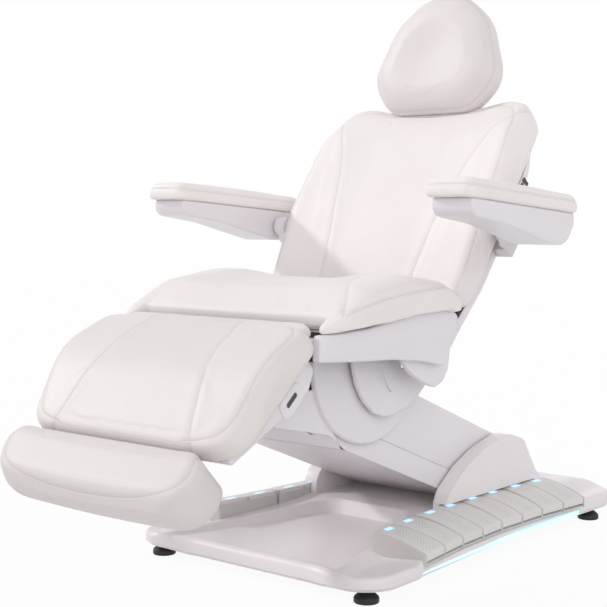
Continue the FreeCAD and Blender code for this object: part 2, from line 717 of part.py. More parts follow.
def carrier_cover():
    """Housing under the seat: open-topped nose and two round cheeks."""
    clear = BOOM_HALF_T + 2.5
    outer = side(nose_outline(), -CHEEK_IN_X, CHEEK_IN_X).cut(bar(P1_Y, P1_Z, clear, -400, 400))
    hollow = [
        (NOSE_FRONT_Y + COVER_WALL + 1, NOSE_FRONT_Z + COVER_WALL, 12), (-216, 309, 60),
        (-180, 268, 0), (P1_Y, 258, 0), (P1_Y + 90, 258, 0), (P1_Y + 90, 500, 0),
        (NOSE_TOP_Y + COVER_WALL, 500, 0)]
    inner = side(hollow, -CARRIER_IN_W, CARRIER_IN_W).cut(
        bar(P1_Y, P1_Z, clear + COVER_WALL, -400, 400))
    swept = side([(0, -clear, 0), (BOOM_L, -clear, 0), (BOOM_L, clear, 0), (0, clear, 0)], -400, 400)
    turns = [-BOOM_ANGLE - LIFT_RANGE * part for part in (0, 0.5, 1)]
    nose = outer.cut([inner] + [turned(swept, P1_Y, P1_Z, turn) for turn in turns])
    slot = box(PLATE_IN_X - 1, PLATE_OUT_X + 1, P1_Y - 120, P1_Y + 5, P1_Z - 45, P1_Z + 140)
    nose = nose.cut([slot, mirrored(slot)])
    disc = bar(CHEEK_Y, CHEEK_Z, CHEEK_R, CHEEK_IN_X, CHEEK_IN_X + CHEEK_T)
    rim = [e for e in disc.Edges if abs(e.CenterOfMass.x - CHEEK_IN_X - CHEEK_T) < 0.01]
    disc = disc.makeFillet(6, rim[:1])
    disc = disc.common(box(0, 400, -600, 400, 0, CHEEK_Z + 3))
    disc = disc.cut(box(0, 400, CHEEK_STEP_Y, 400, CHEEK_STEP_Z, 600))
    return joined(nose, disc, mirrored(disc))


def tilt_covers():
    """Round side covers of the tilt pivot and of the back hinge, both sides."""
    top = OUTRIGGER_Z - OUTRIGGER_R - 0.2
    x0 = CHEEK_IN_X + CHEEK_T + LANE_GAP
    disc = bar(P2_Y, P2_Z, TILT_DISC_R, x0, x0 + TILT_DISC_T).common(box(0, 400, -400, -25, 0, top))
    flare = side([
        (P2_Y, P2_Z - TILT_DISC_R, 0), (P2_Y + 60, P2_Z - TILT_DISC_R + 13, 160), (22, 366, 20),
        (22, 424, 0), (-30, 424, 0), (-30, P2_Z, 0), (P2_Y, P2_Z, 0)], x0, x0 + TILT_DISC_T)
    near = joined(disc, flare)
    back = bar(REAR_DISC_Y, REAR_DISC_Z, REAR_DISC_R, SEAT_SHELL_X - 8.5, SEAT_SHELL_X - 1.5)
    back = back.common(box(0, 400, -400, 400, 0, top))
    return both(near) + both(back)


def seat_frame():
    """Seat weldment: side plates with hinge lobes, pan, outriggers and lugs."""
    rail = side([
        (P4_Y - 6, P4_Z - 12, 0), (P4_Y + 40, RAIL_LOW_Z, 0), (P3_Y - 30, RAIL_LOW_Z, 0),
        (P3_Y + 12, P3_Z - 6, 0), (P3_Y - 12, P3_Z + 6, 0), (P3_Y - 30, RAIL_TOP_Z, 0),
        (P4_Y + 40, RAIL_TOP_Z, 0), (P4_Y - 6, P4_Z + 12, 0)], SIDE_IN_X, SIDE_OUT_X)
    lobe = side([
        (P2_Y - 70, RAIL_LOW_Z + 4, 0), (P2_Y - 25, P2_Z - 12, 18), (P2_Y + 25, P2_Z - 12, 18),
        (P2_Y + 70, RAIL_LOW_Z + 4, 0)], SIDE_IN_X, SIDE_OUT_X)
    spots = ((P2_Y, P2_Z, TILT_LOBE_R), (P3_Y, P3_Z, HINGE_LOBE_R), (P4_Y, P4_Z, HINGE_LOBE_R))
    discs = [bar(y, z, r, SIDE_IN_X, SIDE_OUT_X) for y, z, r in spots]
    plate = joined(rail, lobe, *discs)
    pan = box(-PAN_HALF_W, PAN_HALF_W, PAN_FRONT_Y, PAN_REAR_Y, RAIL_TOP_Z, RAIL_TOP_Z + PAN_T)
    rods = [bar(y, OUTRIGGER_Z, OUTRIGGER_R, -SEAT_SHELL_X, SEAT_SHELL_X) for y in (-310, -180, -44)]
    lugs = []
    eyes = ((0, TILT_PIN_Y, TILT_PIN_Z), (ACT_X, LEG_EYE_Y, LEG_EYE_Z), (-ACT_X, BACK_EYE_Y, BACK_EYE_Z))
    for x, y, z in eyes:
        for s in (-1, 1):
            inner = s * (EYE_T / 2 + LUG_GAP)
            outer = s * (EYE_T / 2 + LUG_GAP + LUG_T)
            lugs.append(side([
                (y - 14, z - 12, 8), (y + 14, z - 12, 8), (y + 18, RAIL_TOP_Z + 2, 0),
                (y - 18, RAIL_TOP_Z + 2, 0)], x + min(inner, outer), x + max(inner, outer)))
        lugs.append(bar(y, z, ACT_PIN_R, x - EYE_T, x + EYE_T))
    whole = joined(plate, mirrored(plate), pan, *rods, *lugs)
    holes = [bar(y, z, PIN_R + RUN_FIT, -200, 200)
             for y, z in ((P2_Y, P2_Z), (P3_Y, P3_Z), (P4_Y, P4_Z))]
    return whole.cut(holes)


def seat_pins():
    """Stub pins of the tilt, back and leg hinges, both sides."""
    solids = []
    for y, z, x0, x1 in ((P2_Y, P2_Z, PLATE_IN_X, SIDE_OUT_X),
                         (P3_Y, P3_Z, SIDE_IN_X, TUBE_IN_X + PLATE_T),
                         (P4_Y, P4_Z, SIDE_IN_X, TUBE_IN_X + PLATE_T)):
        shank = bar(y, z, PIN_R, x0, x1)
        start = x1 if x0 == PLATE_IN_X else x0 - 3
        head = bar(y, z, PIN_R + 4, start, start + 3)
        solids += both(joined(shank, head))
    return solids


def seat_shells():
    """Side valances of the seat."""
    panel = side([
        (SHELL_FRONT_Y, 473, 16), (-306, 463, 0), (-153, 457, 0), (-50, 446, 0), (30, 428, 14),
        (76, 505, 40), (80, 527, 6), (40, 527, 30), (-60, 531, 0), (-330, 519, 0),
        (SHELL_FRONT_Y + 6, 516, 16)],
        SEAT_SHELL_X, SEAT_SHELL_X + SEAT_SHELL_T)
    rim = [e for e in panel.Edges if abs(e.CenterOfMass.x - SEAT_SHELL_X - SEAT_SHELL_T) < 0.01]
    return both(panel.makeFillet(5, rim))


def seat_section(x, draw, dip, ear):
    """Side outline of the seat cushion at one station across the bed."""
    rise = SEAT_EDGE_RISE * (x / SEAT_HALF_W) ** 2
    low = RAIL_TOP_Z + PAN_T + SEAT_GAP + rise
    rear = SEAT_REAR_Y + ear
    points = [
        (SEAT_FRONT_Y, low, 18), (rear, low + 6, 14), (rear - 20 - ear * 0.5, 613 - dip, 26),
        (-130, 628 - dip, 260), (SEAT_FRONT_Y + 30, 600 - dip, 60), (SEAT_FRONT_Y - 4, 552, 24),
    ]
    return cross_wire(inset(points, draw), x)


def seat_cushion():
    """Seat cushion: bolstered sides, dished middle, rolled front."""
    half = SEAT_HALF_W
    return bolster(seat_section, [
        (0, 0, 16, 0), (half * 0.45, 0, 12, 0), (half * 0.7, 0, 5, SEAT_EAR * 0.4),
        (half - 50, 0, 2, SEAT_EAR), (half - 14, 7, 0, SEAT_EAR), (half, 22, 4, SEAT_EAR)])


def posts(r, s0, s1):
    """Round bars on the two headrest post lines, in the frame of the back."""
    return [Part.makeCylinder(r, s1 - s0, Vector(x, s0, POST_N), Vector(0, 1, 0))
            for x in (-POST_X, POST_X)]


def back_frame():
    """Back weldment: tubes, cross bars, pan, hinge ears, arm plates and lever."""
    tube = box(TUBE_IN_X, TUBE_OUT_X, -14, SLEEVE_TOP_S, BACK_TUBE_LOW_N, BACK_TUBE_TOP_N)
    ear = side([
        (-13, 0, 0), (-14, BACK_TUBE_LOW_N, 0), (20, BACK_TUBE_LOW_N, 0), (20, BACK_TUBE_TOP_N, 0),
        (13, -14, 0), (13, 0, 0)], TUBE_IN_X, TUBE_IN_X + PLATE_T)
    knuckle = bar(0, 0, HINGE_LOBE_R - 1, TUBE_IN_X, TUBE_IN_X + PLATE_T)
    hs, hn = ARM_LOCAL
    foot = BACK_TUBE_LOW_N + 2
    reach = box(TUBE_OUT_X - 2, ARM_PLATE_X + PLATE_T, hs - 18, hs + 18, foot, BACK_TUBE_TOP_N - 4)
    cheek = side([(hs - 20, foot, 4), (hs + 20, foot, 4), (hs + 20, hn + 10, 18), (hs - 20, hn + 10, 18)],
                 ARM_PLATE_X, ARM_PLATE_X + PLATE_T)
    half = [tube, ear, knuckle, reach, cheek]
    half_pan = SHELL_TOP_X + BACK_SHELL_WALL - 1
    pan = box(-half_pan, half_pan, 18, SLEEVE_TOP_S, BACK_TUBE_TOP_N, BACK_FOOT_N - SOFT_GAP)
    mid = (BACK_TUBE_LOW_N + BACK_TUBE_TOP_N) / 2
    bars = [bar(s, mid, 10, -TUBE_OUT_X, TUBE_OUT_X) for s in (8, SLEEVE_LOW_S, SLEEVE_TOP_S - 12)]
    sleeves = posts(SLEEVE_R, SLEEVE_LOW_S, SLEEVE_TOP_S)
    lever_s, lever_n = BACK_LEVER_AT
    lever = side([
        (lever_s - 10, lever_n - 9, 8), (16, mid - 9, 0), (16, mid + 9, 0), (lever_s - 10, lever_n + 9, 8)],
        -ACT_X - EYE_T - LUG_T, -ACT_X - EYE_T)
    pin = bar(lever_s, lever_n, ACT_PIN_R, -ACT_X - EYE_T - 2, -ACT_X + EYE_T)
    whole = joined(tube, *half[1:], *[mirrored(s) for s in half], pan, *bars, *sleeves, lever, pin)
    cuts = [bar(0, 0, PIN_R + RUN_FIT, -300, 300), bar(hs, hn, ARM_PIN_R + RUN_FIT, -400, 400)]
    cuts += posts(POST_R + LOOSE_FIT, SLEEVE_LOW_S - 60, SLEEVE_TOP_S + 100)
    return turned(whole.cut(cuts), P3_Y, P3_Z, BACK_ANGLE)


def back_shell_outline():
    """Outline of the rear shell seen square on."""
    wide, high = SHELL_WIDE_X, SHELL_HIGH_X
    return [
        (-SHELL_FOOT_X, SHELL_FOOT_S, 44), (SHELL_FOOT_X, SHELL_FOOT_S, 44),
        (wide, SHELL_WIDE_S, 500), (high, SHELL_HIGH_S, 200),
        (SHELL_TOP_X, SHELL_TOP_S, 60), (-SHELL_TOP_X, SHELL_TOP_S, 60),
        (-high, SHELL_HIGH_S, 200), (-wide, SHELL_WIDE_S, 500)]


def back_shell():
    """Rear shell of the back: a shallow tray, notched over the hinge."""
    lip = BACK_SHELL_FRONT_N
    deep = lip - BACK_SHELL_DEPTH
    outline = back_shell_outline()
    wall = BACK_SHELL_WALL
    outer = pad([(lip, outline), (lip - 20, inset(outline, 2)), (deep + 12, inset(outline, 16)),
                 (deep, inset(outline, 46))])
    inner = pad([(lip + 1, inset(outline, wall)), (lip - 20, inset(outline, 2 + wall)),
                 (deep + 12, inset(outline, 16 + wall)), (deep + wall, inset(outline, 40 + wall))])
    hs = ARM_LOCAL[0]
    cuts = [inner, box(-TUBE_OUT_X - 8, TUBE_OUT_X + 8, -80, -12, -200, 50)]
    cuts += [box(x - 60, x + 60, hs - 22, hs + 22, BACK_TUBE_LOW_N - 2, 0) for x in (-240, 240)]
    cuts += posts(POST_R + 2, SLEEVE_TOP_S - 25, SLEEVE_TOP_S + 75)
    return turned(outer.cut(cuts), P3_Y, P3_Z, BACK_ANGLE)


def back_section(x, start, end, low, foot, mid, peak, top, soft):
    """Side outline of the back cushion: thin at the foot, fullest below the shoulders."""
    span = end - start
    return cross_wire([
        (start, low, 12 * soft), (end, low, 16 * soft), (end, top, 22 * soft),
        (start + span * 0.78, peak, 140 * soft), (start + span * 0.42, mid, 260 * soft),
        (start, foot, 18 * soft)], x)


def back_cushion():
    """Back cushion: dished middle between two wings, receding towards the seat."""
    low = BACK_FOOT_N
    face = BACK_FACE_N
    half = BACK_HALF_W
    soft = bolster(back_section, [
        (0, BACK_LOW_S, BACK_TOP_S - 16, low, 0, face - 42, face - 26, 40, 1),
        (half * 0.5, BACK_LOW_S, BACK_TOP_S + 2, low, 4, face - 31, face - 16, 42, 1),
        (half * 0.75, BACK_LOW_S + 7, BACK_TOP_S, low, 10, face - 22, face, 42, 1),
        (half - 32, BACK_LOW_S + 43, BACK_TOP_S - 24, low, 16, face - 20, face - 4, 40, 1),
        (half - 10, BACK_LOW_S + 78, BACK_TOP_S - 96, low + 6, 14, face - 34, face - 22, 34, 0.8),
        (half, BACK_LOW_S + 133, BACK_TOP_S - 176, low + 16, 8, face - 60, face - 54, 12, 0.4)])
    return turned(soft, P3_Y, P3_Z, BACK_ANGLE)


def back_vents():
    """Ribbed dark vents let into the sides of the rear shell."""
    solids = []
    slope = (SHELL_HIGH_X - SHELL_WIDE_X) / (SHELL_HIGH_S - SHELL_WIDE_S)
    for i in range(VENT_RIBS):
        s = ARM_LOCAL[0] + VENT_ABOVE_ARM + i * VENT_PITCH
        x = SHELL_WIDE_X + (s - SHELL_WIDE_S) * slope
        rib = box(x + VENT_GAP, x + VENT_GAP + VENT_T, s, s + VENT_W, VENT_LOW_N, VENT_TOP_N)
        solids += both(turned(rib, P3_Y, P3_Z, BACK_ANGLE))
    return solids


def armrest_hubs():
    """Levelled pivot hubs between the back and the armrests."""
    disc = bar(H_Y, H_Z, HUB_DISC_R, HUB_IN_X, HUB_OUT_X)
    pin = bar(H_Y, H_Z, ARM_PIN_R, ARM_PLATE_X - 2, ARM_X + 20)
    stop = side([(H_Y - 12, H_Z - 40, 8), (H_Y + 26, H_Z - 36, 10), (H_Y + 18, H_Z, 0), (H_Y - 18, H_Z, 0)],
                HUB_IN_X, HUB_OUT_X - 8)
    return both(joined(disc, pin, stop))


def arm_shell():
    """Lower moulding of one armrest, deeper at its pivot end."""
    low = side([(ARM_FRONT, 4, 26), (-200, -4, 300), (-16, -34, 60), (44, -30, 44), (ARM_REAR, 14, 30),
                (ARM_REAR - 2, ARM_PAD_LOW - SOFT_GAP, 6), (ARM_FRONT + 4, ARM_PAD_LOW - SOFT_GAP, 6)],
               ARM_X - ARM_SHELL_HALF_W, ARM_X + ARM_SHELL_HALF_W)
    rims = [e for e in low.Edges if abs(abs(e.CenterOfMass.x - ARM_X) - ARM_SHELL_HALF_W) < 0.01
            and e.CenterOfMass.z < ARM_PAD_LOW - 3]
    low = low.makeFillet(5, rims)
    core = side([
        (ARM_FRONT + 22, 20, 6), (-60, 4, 0), (-60, ARM_PAD_LOW - 6, 0),
        (ARM_FRONT + 22, ARM_PAD_LOW - 6, 0)],
        ARM_X - ARM_SHELL_HALF_W + 5, ARM_X + ARM_SHELL_HALF_W - 5)
    bore = bar(0, 0, ARM_PIN_R + RUN_FIT, 0, ARM_X + 22)
    return turned(low.cut([core, bore]), H_Y, H_Z, ARM_SLOPE)


def arm_pad():
    """Upholstered top of one armrest."""
    w = ARM_PAD_HALF_W
    outline = [(ARM_X - w, ARM_FRONT - 5, 34), (ARM_X + w, ARM_FRONT - 5, 34), (ARM_X + w, ARM_REAR + 6, 30),
               (ARM_X - w, ARM_REAR + 6, 30)]
    return turned(crowned(outline, ARM_PAD_LOW, ARM_PAD_TOP, 13), H_Y, H_Z, ARM_SLOPE)


def headrest_posts():
    """Two posts in the back's sleeves, a yoke and the headrest hinge bar."""
    hs, hn = HEAD_HINGE_LOCAL
    top = hs + 8
    rods = posts(POST_R, POST_LOW_S, top)
    yoke = box(-POST_X - 12, POST_X + 12, hs - 10, top + 4, POST_N - 8, POST_N + 8)
    line = [(hs - 10, POST_N, 0), (hs + 12, POST_N, 0), (hs + 9, hn + 9, 8), (hs - 9, hn + 9, 8)]
    arms = [side(line, x - 6, x + 6) for x in (-POST_X, POST_X)]
    hinge = bar(hs, hn, POST_R, -POST_X - 10, POST_X + 10)
    return turned(joined(rods[0], rods[1], yoke, *arms, hinge), P3_Y, P3_Z, BACK_ANGLE)


def headrest_outline():
    """Egg-shaped outline of the headrest."""
    half = [(118, HEAD_LOW_T, 62), (HEAD_HALF_W + 13, 80, 96), (128, 225, 120), (50, HEAD_TOP_T + 3, 80)]
    return half + [(-x, t, r) for x, t, r in reversed(half)]


def headrest_board():
    """Board behind the headrest cushion with its two hinge lugs."""
    m = HEAD_MID_M - HEAD_HALF_T
    board = slab(inset(headrest_outline(), 34), m - 8, m - SOFT_GAP)
    line = [
        (HEAD_HINGE_T - 16, m - 6, 0), (HEAD_HINGE_T + 16, m - 6, 0),
        (HEAD_HINGE_T + 9, HEAD_HINGE_M - 10, 8), (HEAD_HINGE_T - 9, HEAD_HINGE_M - 10, 8)]
    lugs = [side(line, x - 10, x + 10) for x in (-30, 30)]
    board = joined(board, *lugs).cut(bar(HEAD_HINGE_T, HEAD_HINGE_M, POST_R + RUN_FIT, -200, 200))
    return turned(board, HEAD_Y, HEAD_Z, HEAD_ANGLE)


def headrest_cushion():
    """Headrest pillow."""
    points = headrest_outline()
    low = HEAD_MID_M - HEAD_HALF_T
    high = HEAD_MID_M + HEAD_HALF_T
    soft = pad([(low, inset(points, 30)), (low + 18, inset(points, 9)), (HEAD_MID_M - 6, points),
                (HEAD_MID_M + 20, inset(points, 6)), (high - 8, inset(points, 26)),
                (high, inset(points, 48))])
    return turned(soft, HEAD_Y, HEAD_Z, HEAD_ANGLE)


def leg_frame():
    """Leg rest weldment: side bars, cross bars, hinge ears, guide tubes and lever."""
    ear = side([
        (-LEG_LEN + 14, LEG_FRAME_LOW_N, 0), (-12, LEG_FRAME_LOW_N, 0), (0, LEG_FRAME_LOW_N - 6, 0),
        (0, 12, 0), (-LEG_LEN + 14, LEG_FRAME_TOP_N, 0)], TUBE_IN_X, TUBE_IN_X + PLATE_T)
    knuckle = bar(0, 0, HINGE_LOBE_R - 1, TUBE_IN_X, TUBE_IN_X + PLATE_T)
    mid = (LEG_FRAME_LOW_N + LEG_FRAME_TOP_N) / 2
    bars = [box(-TUBE_IN_X - 2, TUBE_IN_X + 2, -u - 9, -u + 9, LEG_FRAME_LOW_N, LEG_FRAME_TOP_N)
            for u in (34, 150, LEG_LEN - 26)]
    wings = [box(-214, 214, -u - 9, -u + 9, LEG_FRAME_TOP_N - 8, LEG_FRAME_TOP_N) for u in LEG_WINGS]
    lever_u, lever_n = LEG_LEVER_AT
    lever = side([(lever_u - 9, lever_n - 9, 8), (lever_u + 9, lever_n - 9, 8), (-25, LEG_FRAME_LOW_N + 4, 0),
                  (-43, LEG_FRAME_LOW_N + 4, 0)], ACT_X + EYE_T, ACT_X + EYE_T + LUG_T)
    pin = bar(lever_u, lever_n, ACT_PIN_R, ACT_X - EYE_T, ACT_X + EYE_T + 2)
    whole = joined(ear, mirrored(ear), knuckle, mirrored(knuckle), *bars, *wings, lever, pin)
    cuts = [bar(0, 0, PIN_R + RUN_FIT, -300, 300)]
    cuts += [Part.makeCylinder(SLIDE_R + LOOSE_FIT, 400, Vector(x, -LEG_LEN - 40, mid), Vector(0, 1, 0))
             for x in (-SLIDE_X, SLIDE_X)]
    return turned(whole.cut(cuts), P4_Y, P4_Z, LEG_ANGLE)


def leg_shell():
    """Moulding under the leg rest: thin middle, two deep side cheeks."""
    low = LEG_FRAME_LOW_N - SOFT_GAP
    middle = box(-LEG_CHEEK_IN_X - 2, LEG_CHEEK_IN_X + 2, -LEG_LEN + 30, -14, low - 4, low)
    cheek = side([
        (-26, 14, 6), (-24, -36, 16), (-62, -56, 20), (-120, -46, 200), (-215, -22, 0),
        (-LEG_LEN + 16, -2, 4), (-LEG_LEN + 16, 14, 4)], LEG_CHEEK_IN_X, LEG_SHELL_X)
    rims = [e for e in cheek.Edges if abs(e.CenterOfMass.x - LEG_SHELL_X) < 0.01]
    cheek = cheek.makeFillet(5, rims)
    hollow = side([
        (-38, 30, 0), (-36, -30, 8), (-64, -48, 14), (-120, -38, 100), (-212, -14, 60),
        (-LEG_LEN + 34, 30, 0)], LEG_CHEEK_IN_X + 4, LEG_SHELL_X - 5)
    notches = [box(LEG_CHEEK_IN_X - 8, LEG_SHELL_X - 20, -u - 10, -u + 10, LEG_FRAME_TOP_N - 9, 40)
               for u in LEG_WINGS]
    cheek = cheek.cut([hollow] + notches)
    lever_u = LEG_LEVER_AT[0]
    gap = box(ACT_X - 20, ACT_X + 30, lever_u - 40, 0, low - 10, low + 2)
    return turned(joined(middle.cut(gap), cheek, mirrored(cheek)), P4_Y, P4_Z, LEG_ANGLE)


def leg_grips():
    """Dark oval grips on the sides of the leg rest moulding."""
    line = [(-132, -38, 8), (-86, -38, 8), (-86, -20, 8), (-132, -20, 8)]
    oval = side(line, LEG_SHELL_X + 0.1, LEG_SHELL_X + 2.6)
    return [turned(s, P4_Y, P4_Z, LEG_ANGLE) for s in both(oval)]


def leg_section(x, start, end, low, head, peak, toe, soft):
    """Side outline of the leg rest cushion, crowned along its length."""
    middle = start + (end - start) * 0.6
    return cross_wire([
        (-end, low, 16 * soft), (-start, low, 14 * soft), (-start, head, 22 * soft),
        (-middle, peak, 260 * soft), (-end, toe, 24 * soft)], x)


def leg_cushion():
    """Leg rest cushion and the flap that closes the gap to the seat."""
    low = LEG_FOOT_N
    face = LEG_FACE_N
    half = LEG_HALF_W
    soft = bolster(leg_section, [
        (0, LEG_START, LEG_LEN, low, face - 28, face - 1, face - 34, 1),
        (half * 0.5, LEG_START, LEG_LEN, low, face - 29, face - 2, face - 35, 1),
        (half * 0.76, LEG_START + 9, LEG_LEN - 3, low, face - 35, face - 13, face - 39, 1),
        (half - 36, LEG_START + 40, LEG_LEN - 18, low + 2, face - 45, face - 26, face - 45, 0.8),
        (half - 11, LEG_START + 115, LEG_LEN - 38, low + 9, face - 51, face - 39, face - 51, 0.5),
        (half, LEG_START + 180, LEG_LEN - 56, low + 17, face - 57, face - 51, face - 57, 0.25)])
    flap = side([(-16, 30, 2), (22, 34, 2), (22, 39, 2), (-16, 44, 2)], -FLAP_HALF_W, FLAP_HALF_W)
    return turned(joined(soft, flap), P4_Y, P4_Z, LEG_ANGLE)


def foot_slide():
    """Two guide rods and the board of the pull-out foot pad."""
    mid = (LEG_FRAME_LOW_N + LEG_FRAME_TOP_N) / 2
    rods = [Part.makeCylinder(SLIDE_R, SLIDE_L, Vector(x, -FOOT_START - 10, mid), Vector(0, 1, 0))
            for x in (-SLIDE_X, SLIDE_X)]
    board = box(-200, 200, -FOOT_START - 12, -FOOT_START - 2, FOOT_LOW_N + 8, 40)
    return turned(joined(rods[0], rods[1], board), P4_Y, P4_Z, LEG_ANGLE)


def foot_section(x, draw, short):
    """Side outline of the foot pad at one station, shorter towards its round ends."""
    a, b = -FOOT_END + short, -FOOT_START - 12 - SOFT_GAP
    points = [
        (a + 4, FOOT_LOW_N, 30), (b, FOOT_LOW_N, 16), (b, FOOT_FACE_N, 20),
        (a + 12, FOOT_FACE_N - FOOT_FALL, 22), (a, 30, 60)]
    return cross_wire(inset(points, draw), x)


def foot_cushion():
    """Foot pad: a thick bolster with round ends."""
    half = FOOT_HALF_W
    soft = bolster(foot_section, [
        (0, 0, 0), (half * 0.5, 0, 3), (half - 66, 1, 11), (half - 26, 5, 27), (half, 14, 46)])
    return turned(soft, P4_Y, P4_Z, LEG_ANGLE)


def frame_line(y, half_l, half_h, r):
    """Rounded rectangle about a point on the actuator's axis."""
    return [(y - half_l, -half_h, r), (y + half_l, -half_h, r),
            (y + half_l, half_h, r), (y - half_l, half_h, r)]


def actuator(eye, pin, x, body, slot, draw):
    """Motor body and rod between an eye and a driven pin; draw is how far the rod runs in."""
    dy = pin[0] - eye[0]
    dz = pin[1] - eye[1]
    reach = math.hypot(dy, dz)
    half = EYE_T / 2
    head = bar(0, 0, EYE_R, -half, half)
    neck = box(-half, half, 0, EYE_R + 8, -EYE_R * 0.7, EYE_R * 0.7)
    gear = box(-GEAR_HALF, GEAR_HALF, EYE_R + 6, EYE_R + 6 + body * 0.32, -GEAR_HALF, GEAR_HALF)
    barrel = Part.makeCylinder(ACT_TUBE_R, body - EYE_R - 10, Vector(0, EYE_R + 10, 0), Vector(0, 1, 0))
    motor = joined(head, neck, gear, barrel)
    bore = Part.makeCylinder(ACT_ROD_R + LOOSE_FIT, body, Vector(0, EYE_R + 22, 0), Vector(0, 1, 0))
    motor = motor.cut([bore, bar(0, 0, slot[2] + RUN_FIT, -50, 50)])
    start = EYE_R + 26 + draw
    rod = Part.makeCylinder(ACT_ROD_R, reach - slot[0] - start, Vector(0, start, 0), Vector(0, 1, 0))
    w, tall = slot[0], slot[1]
    end = frame_line(reach, w + 6, tall + 6, 5)
    eyelet = frame_line(reach, w, tall, w * 0.99)
    rod = joined(rod, side(end, -half, half)).cut(side(eyelet, -half - 1, half + 1))
    angle = math.degrees(math.atan2(dz, dy))
    placed = []
    for shape in (motor, rod):
        s = turned(shape, eye[0], eye[1], angle)
        s.translate(Vector(x, 0, 0))
        placed.append(s)
    return placed


# Points where the actuators and the upper pieces hang, found from the sizes above
LEG_LEVER_Y, LEG_LEVER_Z = spot(P4_Y, P4_Z, LEG_LEVER_TURN, 0, -LEG_LEVER)
LEG_LEVER_AT = (LEG_LEVER * math.sin(math.radians(LEG_LEVER_TURN - LEG_ANGLE)),
                -LEG_LEVER * math.cos(math.radians(LEG_LEVER_TURN - LEG_ANGLE)))
LEG_EYE_Y = -70.0
LEG_EYE_Z = 448.0
BACK_LEVER_AT = (BACK_LEVER * math.cos(math.radians(BACK_LEVER_TURN)),
                 BACK_LEVER * math.sin(math.radians(BACK_LEVER_TURN)))
BACK_LEVER_Y, BACK_LEVER_Z = spot(P3_Y, P3_Z, BACK_ANGLE, *BACK_LEVER_AT)
BACK_EYE_Y = -290.0
BACK_EYE_Z = 460.0
TILT_PIN_Y = -290.0
TILT_PIN_Z = 480.0
LIFT_EYE_Y, LIFT_EYE_Z = spot(P0_Y, P0_Z, -BOOM_ANGLE, -LIFT_EYE_AT, 0)
BACK_C = math.cos(math.radians(BACK_ANGLE))
BACK_S = math.sin(math.radians(BACK_ANGLE))
ARM_LOCAL = ((H_Y - P3_Y) * BACK_C + (H_Z - P3_Z) * BACK_S,
             -(H_Y - P3_Y) * BACK_S + (H_Z - P3_Z) * BACK_C)
HEAD_HINGE_Y, HEAD_HINGE_Z = spot(HEAD_Y, HEAD_Z, HEAD_ANGLE, HEAD_HINGE_T, HEAD_HINGE_M)
HEAD_HINGE_LOCAL = ((HEAD_HINGE_Y - P3_Y) * BACK_C + (HEAD_HINGE_Z - P3_Z) * BACK_S,
                    -(HEAD_HINGE_Y - P3_Y) * BACK_S + (HEAD_HINGE_Z - P3_Z) * BACK_C)


def build():
    """Make every piece and write it out."""
    save("base_cover", base_cover())
    save("base_frame", base_frame())
    save("levelling_feet", feet())
    save("led_strips", both(led_strip()))
    save("control_box", control_box())
    module = key_module()
    bank = [on_bank(module, f) for f in bank_frames()]
    save("key_housings", bank + [mirrored(s) for s in bank])
    number = 0
    for frame in bank_frames():
        for mid in key_middles():
            number += 1
            cap = on_bank(key(mid), frame)
            save("key_left_%d" % number, cap)
            save("key_right_%d" % number, mirrored(cap))
    save("boom_arm", boom_arm())
    low, top = boom_covers()
    save("boom_cover_lower", low)
    save("boom_cover_upper", top)
    save("boom_shafts", boom_shafts())
    save("levelling_rods", levelling_rods())
    save("carrier_frame", carrier_frame())
    save("carrier_cover", carrier_cover())
    save("tilt_covers", tilt_covers())
    save("seat_frame", seat_frame())
    save("seat_pins", seat_pins())
    save("seat_shells", seat_shells())
    save("seat_cushion", seat_cushion())
    save("back_frame", back_frame())
    save("back_shell", back_shell())
    save("back_cushion", back_cushion())
    save("back_vents", back_vents())
    save("armrest_hubs", armrest_hubs())
    for hand, turn in (("left", lambda s: s), ("right", mirrored)):
        save("armrest_shell_" + hand, turn(arm_shell()))
        save("armrest_pad_" + hand, turn(arm_pad()))
    save("headrest_posts", headrest_posts())
    save("headrest_board", headrest_board())
    save("headrest_cushion", headrest_cushion())
    save("leg_frame", leg_frame())
    save("leg_shell", leg_shell())
    save("leg_grips", leg_grips())
    save("leg_cushion", leg_cushion())
    save("foot_slide", foot_slide())
    save("foot_cushion", foot_cushion())
    short_slot = (SLOT_W, SHORT_SLOT_L, LIFT_PIN_R)
    bar_slot = (SLOT_W, SHORT_SLOT_L, FRONT_BAR_R)
    long_slot = (SLOT_W, SLOT_L, ACT_PIN_R)
    drives = (
        ("lift", (LIFT_EYE_Y, LIFT_EYE_Z), (LIFT_PIN_Y, LIFT_PIN_Z), 0, 250, short_slot, 4),
        ("tilt", (FRONT_BAR_Y, FRONT_BAR_Z), (TILT_PIN_Y, TILT_PIN_Z), 0, 100, bar_slot, 4),
        ("leg", (LEG_EYE_Y, LEG_EYE_Z), (LEG_LEVER_Y, LEG_LEVER_Z), ACT_X, 190, long_slot, 34),
        ("back", (BACK_EYE_Y, BACK_EYE_Z), (BACK_LEVER_Y, BACK_LEVER_Z), -ACT_X, 230, long_slot, 64),
    )
    for name, eye, pin, x, body, slot, draw in drives:
        motor, rod = actuator(eye, pin, x, body, slot, draw)
        save(name + "_motor", motor)
        save(name + "_rod", rod)


os.makedirs("parts", exist_ok=True)
build()
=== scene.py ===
import math

import bpy
import numpy as np
from mathutils import Matrix, Vector


